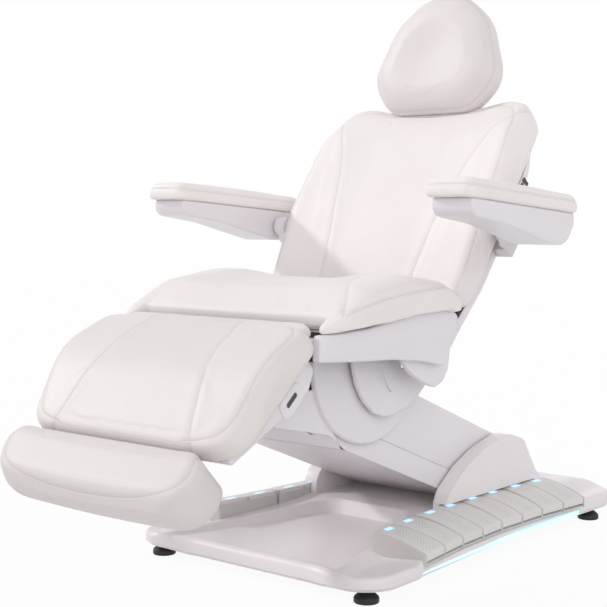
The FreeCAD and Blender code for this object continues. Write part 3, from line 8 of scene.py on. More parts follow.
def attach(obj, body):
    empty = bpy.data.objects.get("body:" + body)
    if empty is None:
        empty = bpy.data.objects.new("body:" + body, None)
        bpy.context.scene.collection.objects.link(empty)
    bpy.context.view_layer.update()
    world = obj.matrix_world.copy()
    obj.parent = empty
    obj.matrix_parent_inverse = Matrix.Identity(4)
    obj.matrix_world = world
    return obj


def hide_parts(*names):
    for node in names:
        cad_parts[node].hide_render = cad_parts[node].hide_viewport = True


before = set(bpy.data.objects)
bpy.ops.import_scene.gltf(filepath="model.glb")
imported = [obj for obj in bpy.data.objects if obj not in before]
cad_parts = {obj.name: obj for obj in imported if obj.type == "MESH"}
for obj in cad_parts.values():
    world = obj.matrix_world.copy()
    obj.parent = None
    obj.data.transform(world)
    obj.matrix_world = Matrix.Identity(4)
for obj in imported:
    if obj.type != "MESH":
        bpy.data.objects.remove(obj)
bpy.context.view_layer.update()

MM = 0.001
scene = bpy.context.scene

# Frames of the moving parts: the pivot along the bed, its height, and the lean in degrees
BACK = (60.0, 535.0, 51.0)
LEG = (-370.0, 500.0, 41.0)
ARM = (190.0, 712.0, -4.4)
HEAD = (391.0, 968.0, 75.0)
POST_X, POST_N = 60.0, -56.0
SEAT_HALF, BACK_HALF, LEG_HALF, FOOT_HALF = 291.0, 280.0, 286.0, 260.0

# Leather away from every seam, and leather without holes, in millimetres
NO_SEAM, PLAIN = 1e3, -50.0


# Small tools

def only(piece):
    """Select one piece alone and make it the active one."""
    bpy.ops.object.select_all(action="DESELECT")
    piece.select_set(True)
    bpy.context.view_layer.objects.active = piece


def applied(piece, kind, **values):
    """Give a piece one modifier and apply it."""
    only(piece)
    modifier = piece.modifiers.new(kind.lower(), kind)
    for key, value in values.items():
        setattr(modifier, key, value)
    bpy.ops.object.modifier_apply(modifier=modifier.name)


def points_of(piece):
    """Vertex places of a piece in millimetres."""
    flat = np.zeros(len(piece.data.vertices) * 3)
    piece.data.vertices.foreach_get("co", flat)
    return flat.reshape(-1, 3) / MM


def set_points(piece, places):
    """Put the vertices of a piece at places in millimetres."""
    piece.data.vertices.foreach_set("co", (places * MM).ravel())
    piece.data.update()


def picked(piece):
    """Which vertices of a piece are selected."""
    chosen = np.zeros(len(piece.data.vertices), bool)
    piece.data.vertices.foreach_get("select", chosen)
    return chosen


def outward():
    """Turn all faces of the piece in hand outward."""
    bpy.ops.object.mode_set(mode="EDIT")
    bpy.ops.mesh.select_all(action="SELECT")
    bpy.ops.mesh.normals_make_consistent(inside=False)
    bpy.ops.object.mode_set(mode="OBJECT")


def settle(piece, place):
    """Turn and move a piece drawn in a moving part's own frame to its place in the bed."""
    y, z, lean = place
    piece.data.transform(
        Matrix.Translation((0, y * MM, z * MM)) @ Matrix.Rotation(math.radians(lean), 4, "X"))
    piece.data.update()


def smooth(value):
    """Soft step from 0 to 1."""
    t = np.clip(value, 0, 1)
    return t * t * (3 - 2 * t)


def rounded(corners, steps):
    """Closed line through corner triples (a, b, radius), the corners turned round."""
    line = []
    for i, (a, b, radius) in enumerate(corners):
        here = Vector((a, b))
        back = Vector(corners[i - 1][:2]) - here
        ahead = Vector(corners[(i + 1) % len(corners)][:2]) - here
        half = back.angle(ahead) / 2
        reach = min(radius / max(math.tan(half), 1e-4), back.length * 0.49, ahead.length * 0.49)
        start = here + back.normalized() * reach
        end = here + ahead.normalized() * reach
        for k in range(steps + 1):
            t = k / steps
            line.append(start * (1 - t) ** 2 + here * (2 * t * (1 - t)) + end * t ** 2)
    return line


def drawn_in(corners, amount):
    """Corner triples of the same closed line, drawn in by an amount on every side."""
    area = sum(corners[i - 1][0] * c[1] - c[0] * corners[i - 1][1] for i, c in enumerate(corners))
    turn = 1 if area > 0 else -1
    moved = []
    for i, (a, b, radius) in enumerate(corners):
        here = Vector((a, b))
        first = (here - Vector(corners[i - 1][:2])).normalized()
        second = (Vector(corners[(i + 1) % len(corners)][:2]) - here).normalized()
        inward = Vector((-first.y - second.y, first.x + second.x)) * turn
        share = amount * 2 / max(inward.length_squared, 0.4)
        here = here + inward * share
        moved.append((here.x, here.y, max(radius - amount * 0.5, 2)))
    return moved


def curve_through(points, steps=8):
    """Soft line through a few drawn points."""
    p = np.array(points, float)
    ends = np.vstack([2 * p[0] - p[1], p, 2 * p[-1] - p[-2]])
    line = []
    for i in range(1, len(ends) - 2):
        a, b, c, d = ends[i - 1:i + 3]
        for k in range(steps):
            t = k / steps
            line.append(0.5 * (2 * b + (c - a) * t + (2 * a - 5 * b + 4 * c - d) * t ** 2
                               + (3 * b - a - 3 * c + d) * t ** 3))
    line.append(p[-1])
    return np.array(line)


def beside(a, b, line):
    """Signed distance of each place (a, b) from a line, and the run along the line."""
    place = np.stack([a, b], 1)
    gap = np.full(len(place), 1e6)
    run = np.zeros(len(place))
    gone = 0.0
    for start, end in zip(line[:-1], line[1:]):
        step = end - start
        length = math.hypot(*step)
        offset = place - start
        t = np.clip(offset @ step / length ** 2, 0, 1)
        foot = offset - t[:, None] * step
        far = np.hypot(foot[:, 0], foot[:, 1])
        hand = np.where(step[0] * offset[:, 1] - step[1] * offset[:, 0] > 0, -1, 1)
        closer = far < np.abs(gap)
        gap[closer] = (hand * far)[closer]
        run[closer] = (gone + t * length)[closer]
        gone += length
    return gap, run


def dressed(piece, body, slot, finish, *nodes):
    """Give a finished piece its material and its body, and hide the nodes it stands for. The slot is not
    used.
    """
    piece.data.materials.clear()
    piece.data.materials.append(finish)
    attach(piece, body)
    if nodes:
        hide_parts(*nodes)
    return piece


# Shader groups and finishes

def fill(tree, node, inputs):
    """Give a node its values and links, by name or in order."""
    pairs = inputs.items() if isinstance(inputs, dict) else enumerate(inputs)
    for key, value in pairs:
        if isinstance(value, bpy.types.NodeSocket):
            tree.links.new(value, node.inputs[key])
        else:
            node.inputs[key].default_value = value


def put(tree, kind, inputs=(), **settings):
    """Add a node with its settings, values and links."""
    node = tree.nodes.new(kind)
    for key, value in settings.items():
        setattr(node, key, value)
    fill(tree, node, inputs)
    return node


def sums(tree, operation, *values):
    """One arithmetic node; its result."""
    return put(tree, "ShaderNodeMath", values, operation=operation).outputs[0]


def ramp(tree, value, low, high, soft=False):
    """A value between two limits as a share from 0 to 1; the result."""
    return put(tree, "ShaderNodeMapRange", {"Value": value, "From Min": low, "From Max": high},
               interpolation_type="SMOOTHSTEP" if soft else "LINEAR").outputs[0]


def noise(tree, place, scale, detail, roughness):
    """One noise texture; its result."""
    return put(tree, "ShaderNodeTexNoise", {
        "Vector": place, "Scale": scale, "Detail": detail, "Roughness": roughness}).outputs[0]


def group(name, inputs, outputs):
    """An empty shader group with named sockets; the tree, what comes in and the output node."""
    tree = bpy.data.node_groups.new(name, "ShaderNodeTree")
    for side, labels in (("INPUT", inputs), ("OUTPUT", outputs)):
        for label in labels:
            kind = "NodeSocketVector" if label == "Vector" else "NodeSocketFloat"
            tree.interface.new_socket(label, in_out=side, socket_type=kind)
    start = tree.nodes.new("NodeGroupInput")
    return tree, start.outputs[:len(inputs)], tree.nodes.new("NodeGroupOutput")


def leather_grain_group():
    """Pebbled hide: a fine height and a slow change of tone."""
    tree, (place, scale), end = group("Leather grain", ["Vector", "Scale"], ["Height", "Tone"])
    cells = put(tree, "ShaderNodeTexVoronoi", {"Vector": place, "Scale": scale, "Smoothness": 0.35},
                feature="SMOOTH_F1")
    fine = noise(tree, place, sums(tree, "MULTIPLY", scale, 2.3), 3.0, 0.55)
    height = sums(tree, "MULTIPLY_ADD", fine, 0.5, cells.outputs[0])
    fill(tree, end, [height, noise(tree, place, 5.0, 4.0, 0.6)])
    return tree


def moulded_grain_group():
    """Moulded skin of plastic: a very fine spark texture, soft flow and rubbed spots."""
    tree, (place, scale), end = group("Moulded grain", ["Vector", "Scale"], ["Height", "Tone", "Rub"])
    fine = noise(tree, place, scale, 4.0, 0.65)
    flow = noise(tree, place, 3.0, 5.0, 0.6)
    spots = ramp(tree, noise(tree, place, 22.0, 6.0, 0.7), 0.56, 0.74)
    fill(tree, end, [fine, flow, spots])
    return tree


def hole_rows_group():
    """Staggered rows of small round holes on a flat vector in metres."""
    tree, (place, pitch, hole), end = group("Hole rows", ["Vector", "Pitch", "Hole"], ["Mask"])
    split = put(tree, "ShaderNodeSeparateXYZ", [place])
    across = sums(tree, "DIVIDE", split.outputs[0], pitch)
    along = sums(tree, "DIVIDE", split.outputs[1], pitch)
    odd = sums(tree, "MULTIPLY", sums(tree, "FLOORED_MODULO", sums(tree, "FLOOR", along), 2.0), 0.5)
    u = sums(tree, "SUBTRACT", sums(tree, "FRACT", sums(tree, "ADD", across, odd)), 0.5)
    v = sums(tree, "SUBTRACT", sums(tree, "FRACT", along), 0.5)
    far = sums(tree, "SQRT", sums(tree, "ADD", sums(tree, "MULTIPLY", u, u), sums(tree, "MULTIPLY", v, v)))
    fill(tree, end, [ramp(tree, far, hole, sums(tree, "MULTIPLY", hole, 0.6), True)])
    return tree


def stitch_group():
    """A row of short stitches at a set distance from a seam, and the seam's own crease."""
    tree, (gap, run, offset, length, width), end = group(
        "Stitches", ["Gap", "Run", "Offset", "Length", "Width"], ["Thread", "Crease"])
    far = sums(tree, "ABSOLUTE", gap)
    off = sums(tree, "ABSOLUTE", sums(tree, "SUBTRACT", far, offset))
    line = ramp(tree, off, width, sums(tree, "MULTIPLY", width, 0.4), True)
    step = sums(tree, "FRACT", sums(tree, "DIVIDE", run, length))
    beat = sums(tree, "ABSOLUTE", sums(tree, "SUBTRACT", step, 0.5))
    thread = sums(tree, "MULTIPLY", line, ramp(tree, beat, 0.36, 0.28))
    fill(tree, end, [thread, ramp(tree, far, 0.001, 0.0001, True)])
    return tree


LEATHER_GRAIN = leather_grain_group()
MOULDED_GRAIN = moulded_grain_group()
HOLE_ROWS = hole_rows_group()
STITCHES = stitch_group()


def placed_group(tree, which, **inputs):
    """Put a shared group into a material."""
    return put(tree, "ShaderNodeGroup", inputs, node_tree=which)


def new_finish(name, skin, scale):
    """A material with a grain; the material, its tree, its shader and what the grain gives."""
    finish = bpy.data.materials.new(name)
    finish.use_nodes = True
    tree = finish.node_tree
    place = put(tree, "ShaderNodeTexCoord").outputs["Object"]
    grain = placed_group(tree, skin, Vector=place, Scale=scale)
    return finish, tree, tree.nodes["Principled BSDF"], grain.outputs


def blended(tree, amount, first, second):
    """Mix two colours; the result."""
    return put(tree, "ShaderNodeMix", {0: amount, 6: first, 7: second}, data_type="RGBA").outputs[2]


def grey(value, warm=0.0):
    """A near-neutral colour, with a little warmth."""
    return (value * (1 + warm), value, value * (1 - warm), 1.0)


def read(tree, name, kind="Fac"):
    """Read one of a piece's own attributes; the result."""
    return put(tree, "ShaderNodeAttribute", attribute_name=name).outputs[kind]


def bumped(tree, strength, distance, height):
    """A bump from a height; the result."""
    return put(tree, "ShaderNodeBump", {
        "Strength": strength, "Distance": distance, "Height": height}).outputs[0]


def upholstery_finish():
    """White synthetic leather: pebbled, stitched, with a perforated middle panel; each cushion darkened by
    its own share of painted shade, with painted shade in its holes and seam creases.
    """
    finish, tree, shader, grain = new_finish("upholstery_leather", LEATHER_GRAIN, 900.0)
    inside = ramp(tree, read(tree, "panel"), 0.004, 0.0055)
    # Perforation holes; below they are coloured darker as painted shade inside them.
    holes = placed_group(tree, HOLE_ROWS, Vector=read(tree, "flat", "Vector"), Pitch=0.0043, Hole=0.21)
    hole = sums(tree, "MULTIPLY", holes.outputs[0], inside)
    seam = placed_group(tree, STITCHES, Gap=read(tree, "seam_gap"), Run=read(tree, "seam_run"),
                        Offset=0.003, Length=0.0052, Width=0.0006)
    # The seam crease is coloured darker below as painted shade in it; the thread keeps its own colour.
    thread, crease = seam.outputs["Thread"], seam.outputs["Crease"]
    tone = ramp(tree, grain["Tone"], 0.3, 0.7)
    hide = blended(tree, tone, (0.87, 0.812, 0.81, 1), (0.90, 0.845, 0.842, 1))
    # Painted shade: a cushion whose share is below 1 has its leather drawn towards this darker grey.
    hide = blended(tree, read(tree, "tone"), (0.665, 0.615, 0.61, 1), hide)
    for mark, share, colour in ((hole, 0.5, (0.50, 0.46, 0.45, 1)), (crease, 0.5, (0.46, 0.42, 0.40, 1)),
                                (thread, 0.6, (0.62, 0.58, 0.55, 1))):
        hide = blended(tree, sums(tree, "MULTIPLY", mark, share), hide, colour)
    height = sums(tree, "MULTIPLY", grain["Height"], 0.16)
    for mark, rise in ((hole, -0.9), (thread, 0.8), (crease, -0.8)):
        height = sums(tree, "MULTIPLY_ADD", mark, rise, height)
    fill(tree, shader, {
        "Base Color": hide, "Roughness": sums(tree, "MULTIPLY_ADD", grain["Height"], 0.16, 0.38),
        "Normal": bumped(tree, 0.55, 0.0006, height), "Specular IOR Level": 0.42})
    return finish


def moulded_finish(name, light, dark, rough, scale=1400.0, bump=0.12, coat=0.0, metallic=0.0):
    """Moulded or painted skin with a fine grain, flow in its tone and rubbed spots."""
    finish, tree, shader, grain = new_finish(name, MOULDED_GRAIN, scale)
    worn = sums(tree, "MULTIPLY_ADD", grain["Rub"], 0.07, rough)
    fill(tree, shader, {
        "Base Color": blended(tree, ramp(tree, grain["Tone"], 0.3, 0.7), dark, light),
        "Roughness": sums(tree, "MULTIPLY_ADD", grain["Height"], 0.05, worn),
        "Normal": bumped(tree, bump, 0.0003, grain["Height"]), "Coat Weight": coat, "Metallic": metallic})
    return finish


def metal_finish(name, light, dark, rough):
    """Drawn or turned steel with fine marks."""
    return moulded_finish(name, light, dark, rough, 700.0, 0.08, metallic=1.0)


def glow_finish(name, bright, deep, strength, scale):
    """Lit plastic: a light guide with soft changes along it."""
    finish, tree, shader, grain = new_finish(name, MOULDED_GRAIN, scale)
    lit = blended(tree, grain["Tone"], deep, bright)
    fill(tree, shader, {
        "Emission Color": lit, "Base Color": lit, "Emission Strength": strength, "Roughness": 0.35})
    return finish


def key_finish():
    """Foot key plastic with rows of grip dots on its face, the dots coloured darker as painted shade."""
    finish, tree, shader, grain = new_finish("key_grip_plastic", MOULDED_GRAIN, 1200.0)
    dots = placed_group(tree, HOLE_ROWS, Vector=read(tree, "flat", "Vector"), Pitch=0.0066, Hole=0.3)
    dot = sums(tree, "MULTIPLY", dots.outputs[0], read(tree, "face"))
    colour = blended(tree, grain["Tone"], (0.71, 0.685, 0.675, 1), (0.78, 0.755, 0.745, 1))
    # Painted shade: the grip dots are drawn towards a darker grey.
    colour = blended(tree, sums(tree, "MULTIPLY", dot, 0.75), colour, (0.42, 0.40, 0.39, 1))
    height = sums(tree, "MULTIPLY_ADD", grain["Height"], 0.1, dot)
    fill(tree, shader, {
        "Base Color": colour, "Roughness": sums(tree, "MULTIPLY_ADD", grain["Rub"], 0.1, 0.42),
        "Normal": bumped(tree, 0.6, 0.0007, height)})
    return finish


def back_frame_finish():
    """Dark paint on the frames above the carrier, white on their outer sides."""
    finish = moulded_finish("back_frame_paint", grey(0.16), grey(0.12), 0.42, 600.0, 0.25)
    tree = finish.node_tree
    colour = tree.nodes["Principled BSDF"].inputs["Base Color"]
    dark = colour.links[0].from_socket
    place = put(tree, "ShaderNodeSeparateXYZ", [put(tree, "ShaderNodeTexCoord").outputs["Object"]])
    outside = ramp(tree, sums(tree, "ABSOLUTE", place.outputs[0]), 0.152, 0.156)
    tree.links.new(blended(tree, outside, dark, (0.80, 0.78, 0.795, 1)), colour)
    return finish


LEATHER = upholstery_finish()
WHITE = moulded_finish("white_moulding", (0.82, 0.785, 0.815, 1), (0.78, 0.745, 0.775, 1), 0.34, coat=0.12)
BASE_WHITE = moulded_finish("base_moulding", (0.85, 0.80, 0.81, 1), (0.81, 0.76, 0.77, 1), 0.36, coat=0.1)
HOUSING = moulded_finish("key_housing_plastic", (0.64, 0.615, 0.60, 1), (0.59, 0.57, 0.555, 1), 0.45)
KEYS = key_finish()
KEY_LIGHT = glow_finish("key_light", (0.42, 0.68, 1.0, 1), (0.30, 0.56, 0.98, 1), 1.0, 300.0)
STRIP_LIGHT = glow_finish("strip_light", (0.42, 0.90, 1.0, 1), (0.28, 0.78, 1.0, 1), 1.5, 200.0)
RUBBER = moulded_finish("foot_rubber", grey(0.014), grey(0.008), 0.55, 500.0, 0.3)
DARK = moulded_finish("dark_trim_plastic", grey(0.075, 0.04), grey(0.05, 0.04), 0.5, 700.0, 0.25)
STEEL = metal_finish("bright_steel", grey(0.66), grey(0.56), 0.24)
ROD = metal_finish("rod_steel", grey(0.72), grey(0.62), 0.16)
CHASSIS = moulded_finish("chassis_paint", grey(0.16), grey(0.12), 0.45, 500.0, 0.3)
MOTOR = moulded_finish("motor_plastic", grey(0.30), grey(0.25), 0.5, 800.0, 0.3)
BACK_FRAME = back_frame_finish()
BOX_PLASTIC = moulded_finish("control_plastic", grey(0.12), grey(0.09), 0.5, 800.0, 0.3)


# Rigid mouldings

def made(name, maker, **values):
    """A new piece from one of the simple mesh makers."""
    bpy.ops.object.select_all(action="DESELECT")
    maker(**values)
    piece = bpy.context.object
    piece.name = name
    return piece


def outlined(name, places):
    """A flat face over a closed line of places in millimetres."""
    piece = made(name, bpy.ops.mesh.primitive_circle_add, vertices=len(places), radius=1, fill_type="NGON")
    set_points(piece, np.array(places))
    return piece


def shaded(piece, angle=32):
    """Smooth shading that keeps the sharp edges."""
    only(piece)
    bpy.ops.object.shade_smooth_by_angle(angle=math.radians(angle))


def soften(piece, width, segments=4, angle=40):
    """Moulded edges and smooth shading."""
    applied(piece, "BEVEL", width=width * MM, segments=segments, limit_method="ANGLE",
            angle_limit=math.radians(angle), use_clamp_overlap=True)
    shaded(piece)


def plate(name, corners, x0, x1, soft):
    """A side outline drawn across the bed from x0 to x1, with moulded edges."""
    piece = outlined(name, [(x0, p.x, p.y) for p in rounded(corners, 6)])
    bpy.ops.object.mode_set(mode="EDIT")
    bpy.ops.mesh.select_all(action="SELECT")
    bpy.ops.mesh.extrude_region_move(TRANSFORM_OT_translate={"value": ((x1 - x0) * MM, 0, 0)})
    bpy.ops.mesh.select_all(action="SELECT")
    bpy.ops.mesh.remove_doubles(threshold=0.00005)
    bpy.ops.object.mode_set(mode="OBJECT")
    outward()
    if soft:
        soften(piece, soft)
    return piece


def carved(piece, tool, operation="DIFFERENCE"):
    """Cut a piece with a tool, or join the tool to it, and clear the tool away."""
    applied(piece, "BOOLEAN", operation=operation, object=tool, solver="EXACT")
    bpy.data.objects.remove(tool)


def box_cut(piece, low, high):
    """Cut a box out of a piece, given by its two corners."""
    space = made("space", bpy.ops.mesh.primitive_cube_add, size=1)
    low, high = np.array(low, float), np.array(high, float)
    set_points(space, points_of(space) * MM * (high - low) + (low + high) / 2)
    carved(piece, space)


def pulled(piece):
    """Extrude the open rim of a piece; which vertices are new, and the places of all."""
    bpy.ops.object.mode_set(mode="EDIT")
    bpy.ops.mesh.select_all(action="SELECT")
    bpy.ops.mesh.region_to_loop()
    bpy.ops.mesh.extrude_edges_move()
    bpy.ops.object.mode_set(mode="OBJECT")
    return picked(piece), points_of(piece)


def capped():
    """Close the selected rim of the piece in hand with a face."""
    bpy.ops.object.mode_set(mode="EDIT")
    bpy.ops.mesh.edge_face_add()
    bpy.ops.object.mode_set(mode="OBJECT")
    outward()


def from_solid(name, node, width):
    """A moulding as the solid gives it, with its sharp edges moulded round."""
    piece = bpy.data.objects.new(name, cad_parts[node].data.copy())
    scene.collection.objects.link(piece)
    only(piece)
    bpy.ops.object.mode_set(mode="EDIT")
    bpy.ops.mesh.select_all(action="SELECT")
    bpy.ops.mesh.customdata_custom_splitnormals_clear()
    bpy.ops.mesh.remove_doubles(threshold=0.00002)
    bpy.ops.mesh.dissolve_limited(angle_limit=math.radians(0.8))
    bpy.ops.object.mode_set(mode="OBJECT")
    soften(piece, width, segments=3, angle=35)
    return piece


def copied(piece, name):
    """A second piece with its own mesh."""
    twin = bpy.data.objects.new(name, piece.data.copy())
    scene.collection.objects.link(twin)
    return twin


def flipped(piece, name):
    """The same piece for the other side of the bed."""
    twin = copied(piece, name)
    twin.data.transform(Matrix.Scale(-1, 4, (1, 0, 0)))
    twin.data.flip_normals()
    twin.data.update()
    return twin


def one(pieces, name):
    """Join pieces into one."""
    bpy.ops.object.select_all(action="DESELECT")
    for piece in pieces:
        piece.select_set(True)
    bpy.context.view_layer.objects.active = pieces[0]
    bpy.ops.object.join()
    pieces[0].name = name
    return pieces[0]


# Base

# Its ends and corner radii, the half width along it and the edge of the tray
FRONT_Y, REAR_Y = -303.0, 735.0
FRONT_R, REAR_R, RIM_R = 78.0, 70.0, 10.0
EDGE_Y = [-303, -230, -145, 54, 186, 321, 458, 640, 735]
EDGE_X = [331, 330, 327, 312, 304, 299, 300, 308, 313]
TRAY_AT = [-340, -60, 122]
TRAY_X = [240, 168, 118]
TRAY_REAR, TRAY_FLOOR, TRAY_CORNER = 122.0, 52.0, 44.0

# Height of the deck along the base, and of the front lobes, the rear heels and the key shelves
DECK_AT = [-303, -200, -100, 0, 100, 160, 600, 660, 735]
DECK_H = [61, 65, 69, 73, 80, 88, 93, 89, 75]
LOBE_H, HEEL_H, SHELF_H = 56.0, 64.0, 51.0

# Line of the key banks: radius, narrowest place, middle, half depth, ends
BANK_R, BANK_WAIST, BANK_MID, BANK_HALF = 2300.0, 240.0, 242.0, 53.0
BANK_FRONT, BANK_REAR = -145.0, 543.0

# Skirt of the base, ring by ring: height beside the light strip, height elsewhere, draw-in
SKIRT = ((42.5, 35.0, 0.0), (41.5, 33.5, 2.5), (28.0, 28.0, 3.0))
STRIP_Y = (-147.0, 547.0)


def base_half_width(y):
    """Half the width of the base along its length, its corners turned round."""
    width = np.interp(y, EDGE_Y, EDGE_X)
    front = np.clip(FRONT_R - (y - FRONT_Y), 0, FRONT_R)
    rear = np.clip(REAR_R - (REAR_Y - y), 0, REAR_R)
    return (width - (FRONT_R - np.sqrt(FRONT_R ** 2 - front ** 2))
            - (REAR_R - np.sqrt(REAR_R ** 2 - rear ** 2)))


def bank_inner(y):
    """Inner side of the key bank along the base."""
    turn = np.arcsin(np.clip((y - BANK_WAIST) / BANK_R, -1, 1))
    return BANK_MID - BANK_HALF + BANK_R * (1 - np.cos(turn))


def deck_height(x, y, rim):
    """Upper surface of the base: rising deck, sunk tray, lobes, key shelves, soft rim."""
    side = np.abs(x)
    deck = np.interp(y, DECK_AT, DECK_H)
    tray_edge = np.interp(y, TRAY_AT, TRAY_X)
    lobe = smooth((side - tray_edge - 14) / 40) * smooth((-126 - y) / 26)
    height = deck + (LOBE_H - deck) * lobe
    heel = smooth((side - 215) / 60) * smooth((y - 528) / 24)
    height = height + (HEEL_H - height) * heel
    a, b = (tray_edge - side) * 0.97, TRAY_REAR - y
    h = np.clip(0.5 + 0.5 * (b - a) / TRAY_CORNER, 0, 1)
    inside = b * (1 - h) + a * h - TRAY_CORNER * h * (1 - h)
    height = height + (TRAY_FLOOR - height) * smooth((inside + 6) / 20)
    lip = np.exp(-((y - FRONT_Y - 14) / 10) ** 2) * smooth(inside / 20)
    height = height + 4.5 * lip
    shelf = ((side > bank_inner(y)) & (y > BANK_FRONT + (side - 213) * 0.13)
             & (y < BANK_REAR - (side - 200) * 0.095))
    height = np.where(shelf, SHELF_H, height)
    return height - RIM_R + np.sqrt(RIM_R ** 2 - np.clip(RIM_R - rim, 0, RIM_R) ** 2)


def base_deck():
    """Floor moulding of the bed, shaped from a grid and given its skirt."""
    piece = made("base_moulding", bpy.ops.mesh.primitive_grid_add, x_subdivisions=168, y_subdivisions=240,
                 size=2)
    grid = points_of(piece) * MM
    u = 0.55 * grid[:, 0] + 0.45 * np.sin(grid[:, 0] * math.pi / 2)
    v = 0.6 * grid[:, 1] + 0.4 * np.sin(grid[:, 1] * math.pi / 2)
    y = FRONT_Y + (REAR_Y - FRONT_Y) * (v + 1) / 2
    x = u * base_half_width(y)
    along = np.linspace(FRONT_Y, REAR_Y, 400)
    edge = np.stack([base_half_width(along), along], 1)
    edge = np.vstack([[0, FRONT_Y], edge, [0, REAR_Y]])
    rim = np.abs(beside(np.abs(x), y, edge)[0])
    bow = (24 * smooth((264 - np.abs(x)) / 110) - 5) * smooth((-100 - y) / 190)
    z = deck_height(x, y, rim)
    set_points(piece, np.stack([x, y + bow, z], 1))
    middle = np.array([0, (FRONT_Y + REAR_Y) / 2])
    for beside_strip, elsewhere, draw in SKIRT:
        chosen, places = pulled(piece)
        along = places[chosen, 1]
        lit = smooth((along - STRIP_Y[0]) / 14) * smooth((STRIP_Y[1] - along) / 14)
        between = smooth((250 - np.abs(places[chosen, 0])) / 80)
        level = elsewhere - 9 * smooth((-120 - along) / 80) * between
        places[chosen, 2] = level + (beside_strip - level) * lit
        drawn = (draw + (3 * lit if draw else 0)) / 400
        places[chosen, :2] = middle + (places[chosen, :2] - middle) * (1 - np.reshape(drawn, (-1, 1)))
        set_points(piece, places)
    capped()
    shaded(piece, 38)
    return piece


def boom_tower():
    """Housing round the foot of the boom: two walls, closed behind, with a thick soft rim."""
    tower = plate("boom_tower", [
        (131, 110, 0), (535, 110, 0), (512, 131, 30), (456, 212, 36), (385, 235, 80), (285, 212, 200),
        (207, 180, 150), (142, 134, 50)], -202, 202, 0)
    plinth = plate("boom_plinth", [
        (128, 60, 0), (572, 60, 0), (552, 92, 20), (531, 116, 0), (133, 116, 0), (128, 92, 20)], -181, 181, 0)
    carved(tower, plinth, "UNION")
    box_cut(tower, (-166, 102, 55), (166, 462, 455))
    soften(tower, 8, 5)
    return tower


def tilt_cover():
    """Cover of the tilt pivot with its crescent recess, and the lobe behind it under the seat."""
    disc = plate("disc", [
        (-190, 470, 0), (-190, 444, 20), (-178, 404, 50), (-154, 368, 50), (-122, 341, 40), (-93, 330, 30),
        (-59, 329, 40), (-12, 341, 60), (32, 360, 40), (62, 384, 22), (60, 424, 10), (-30, 424, 0),
        (-34, 470, 0)], 183, 196, 4)
    recess = plate("recess", [
        (-121, 438, 4), (-114, 415, 20), (-93, 392, 30), (-62, 375, 4), (-80, 395, 20), (-94, 420, 20),
        (-98, 438, 4)], 192, 204, 0)
    carved(disc, recess)
    shaded(disc)
    lobe = plate("lobe", [
        (-102, 470, 0), (-96, 443, 30), (-66, 418, 50), (-22, 396, 60), (14, 384, 30), (44, 394, 30),
        (62, 420, 30), (70, 470, 0)], 236, 250.5, 4)
    near = one([disc, lobe], "tilt_cover")
    return one([near, flipped(near, "tilt_cover_far")], "tilt_covers_moulding")


def grip_rims():
    """Raised oval rims round the hand grips on the sides of the leg rest."""
    rim = plate("rim", [(-144, -50, 18), (-74, -50, 18), (-74, -10, 18), (-144, -10, 18)], 236, 241.5, 0)
    hole = plate("hole", [(-126, -34, 6), (-92, -34, 6), (-92, -24, 6), (-126, -24, 6)], 234, 246, 0)
    carved(rim, hole)
    soften(rim, 1.6, 4)
    rims = one([rim, flipped(rim, "rim_far")], "leg_grip_rims")
    settle(rims, LEG)
    return rims


def ringed(name, rings):
    """A thin moulding drawn ring by ring from its floor, each ring a height and an outline."""
    lines = [np.array([(p.x, p.y, height) for p in rounded(corners, 6)]) for height, corners in rings]
    piece = outlined(name, lines[0])
    for before, line in zip(lines[:-1], lines[1:]):
        chosen, places = pulled(piece)
        match = np.linalg.norm(places[chosen][:, None] - before[None], axis=2).argmin(1)
        places[chosen] = line[match]
        set_points(piece, places)
    capped()
    return piece


def back_shell():
    """Rear moulding of the back: a shallow tray, open over the hinge, the arm bars and the posts."""
    half = [(246, -72, 36), (251, 0, 100), (263, 110, 200), (264, 170, 300), (256, 440, 200), (226, 528, 60)]
    line = half + [(-x, s, r) for x, s, r in reversed(half)]
    rings = [(n, drawn_in(line, d)) for n, d in (
        (-84.5, 46), (-79, 28), (-72.5, 16), (-64, 7), (-54, 2), (-36.5, 0), (-36.5, 4), (-54, 6), (-64, 11),
        (-72.5, 20), (-80.5, 50))]
    shell = ringed("back_shell_moulding", rings)
    box_cut(shell, (-158, -90, -120), (158, -12, 0))
    for x in (-240, 240):
        box_cut(shell, (x - 60, 197, -70), (x + 60, 242, 10))
    for x in (-POST_X, POST_X):
        box_cut(shell, (x - 9.5, 490, POST_N - 9.5), (x + 9.5, 560, POST_N + 9.5))
    soften(shell, 1.5, 2)
    settle(shell, BACK)
    return shell


def seat_fender():
    """Side valances of the seat, arched along the cushion."""
    near = plate("fender", [
        (-391, 473, 6), (-301, 466, 80), (-166, 459, 80), (-63, 447, 60), (14, 431, 10), (29, 455, 40),
        (54, 507, 40), (67, 530, 14), (50, 542, 24), (1, 546, 60), (-85, 544, 60), (-167, 535, 60),
        (-245, 525, 60), (-319, 523, 50), (-389, 522, 8)], 252, 272, 5)
    return one([near, flipped(near, "fender_far")], "seat_shells_moulding")


# Foot keys

# Depth, pitch and middle of the modules, width and place of a key, height, fall and arch of its line
MODULE_D, MODULE_STEP, MODULES_Y = 120.0, 172.0, 200.0
KEY_W, KEY_MID = 78.1, 41.75
KEY_H, KEY_FALL, KEY_ARCH = 97.0, 15.0, 6.0


def key_line(drop, x):
    """Arched upper line of a key across its depth, lowered by drop."""
    t = x / (MODULE_D / 2)
    return KEY_H - KEY_FALL * t - KEY_ARCH * t ** 2 - drop


def bank_places():
    """Middle and turn of each key module on the +X bank."""
    for i in range(4):
        y = MODULES_Y + (i - 1.5) * MODULE_STEP
        angle = math.asin((y - BANK_WAIST) / BANK_R)
        yield BANK_MID + BANK_R * (1 - math.cos(angle)), y, -angle


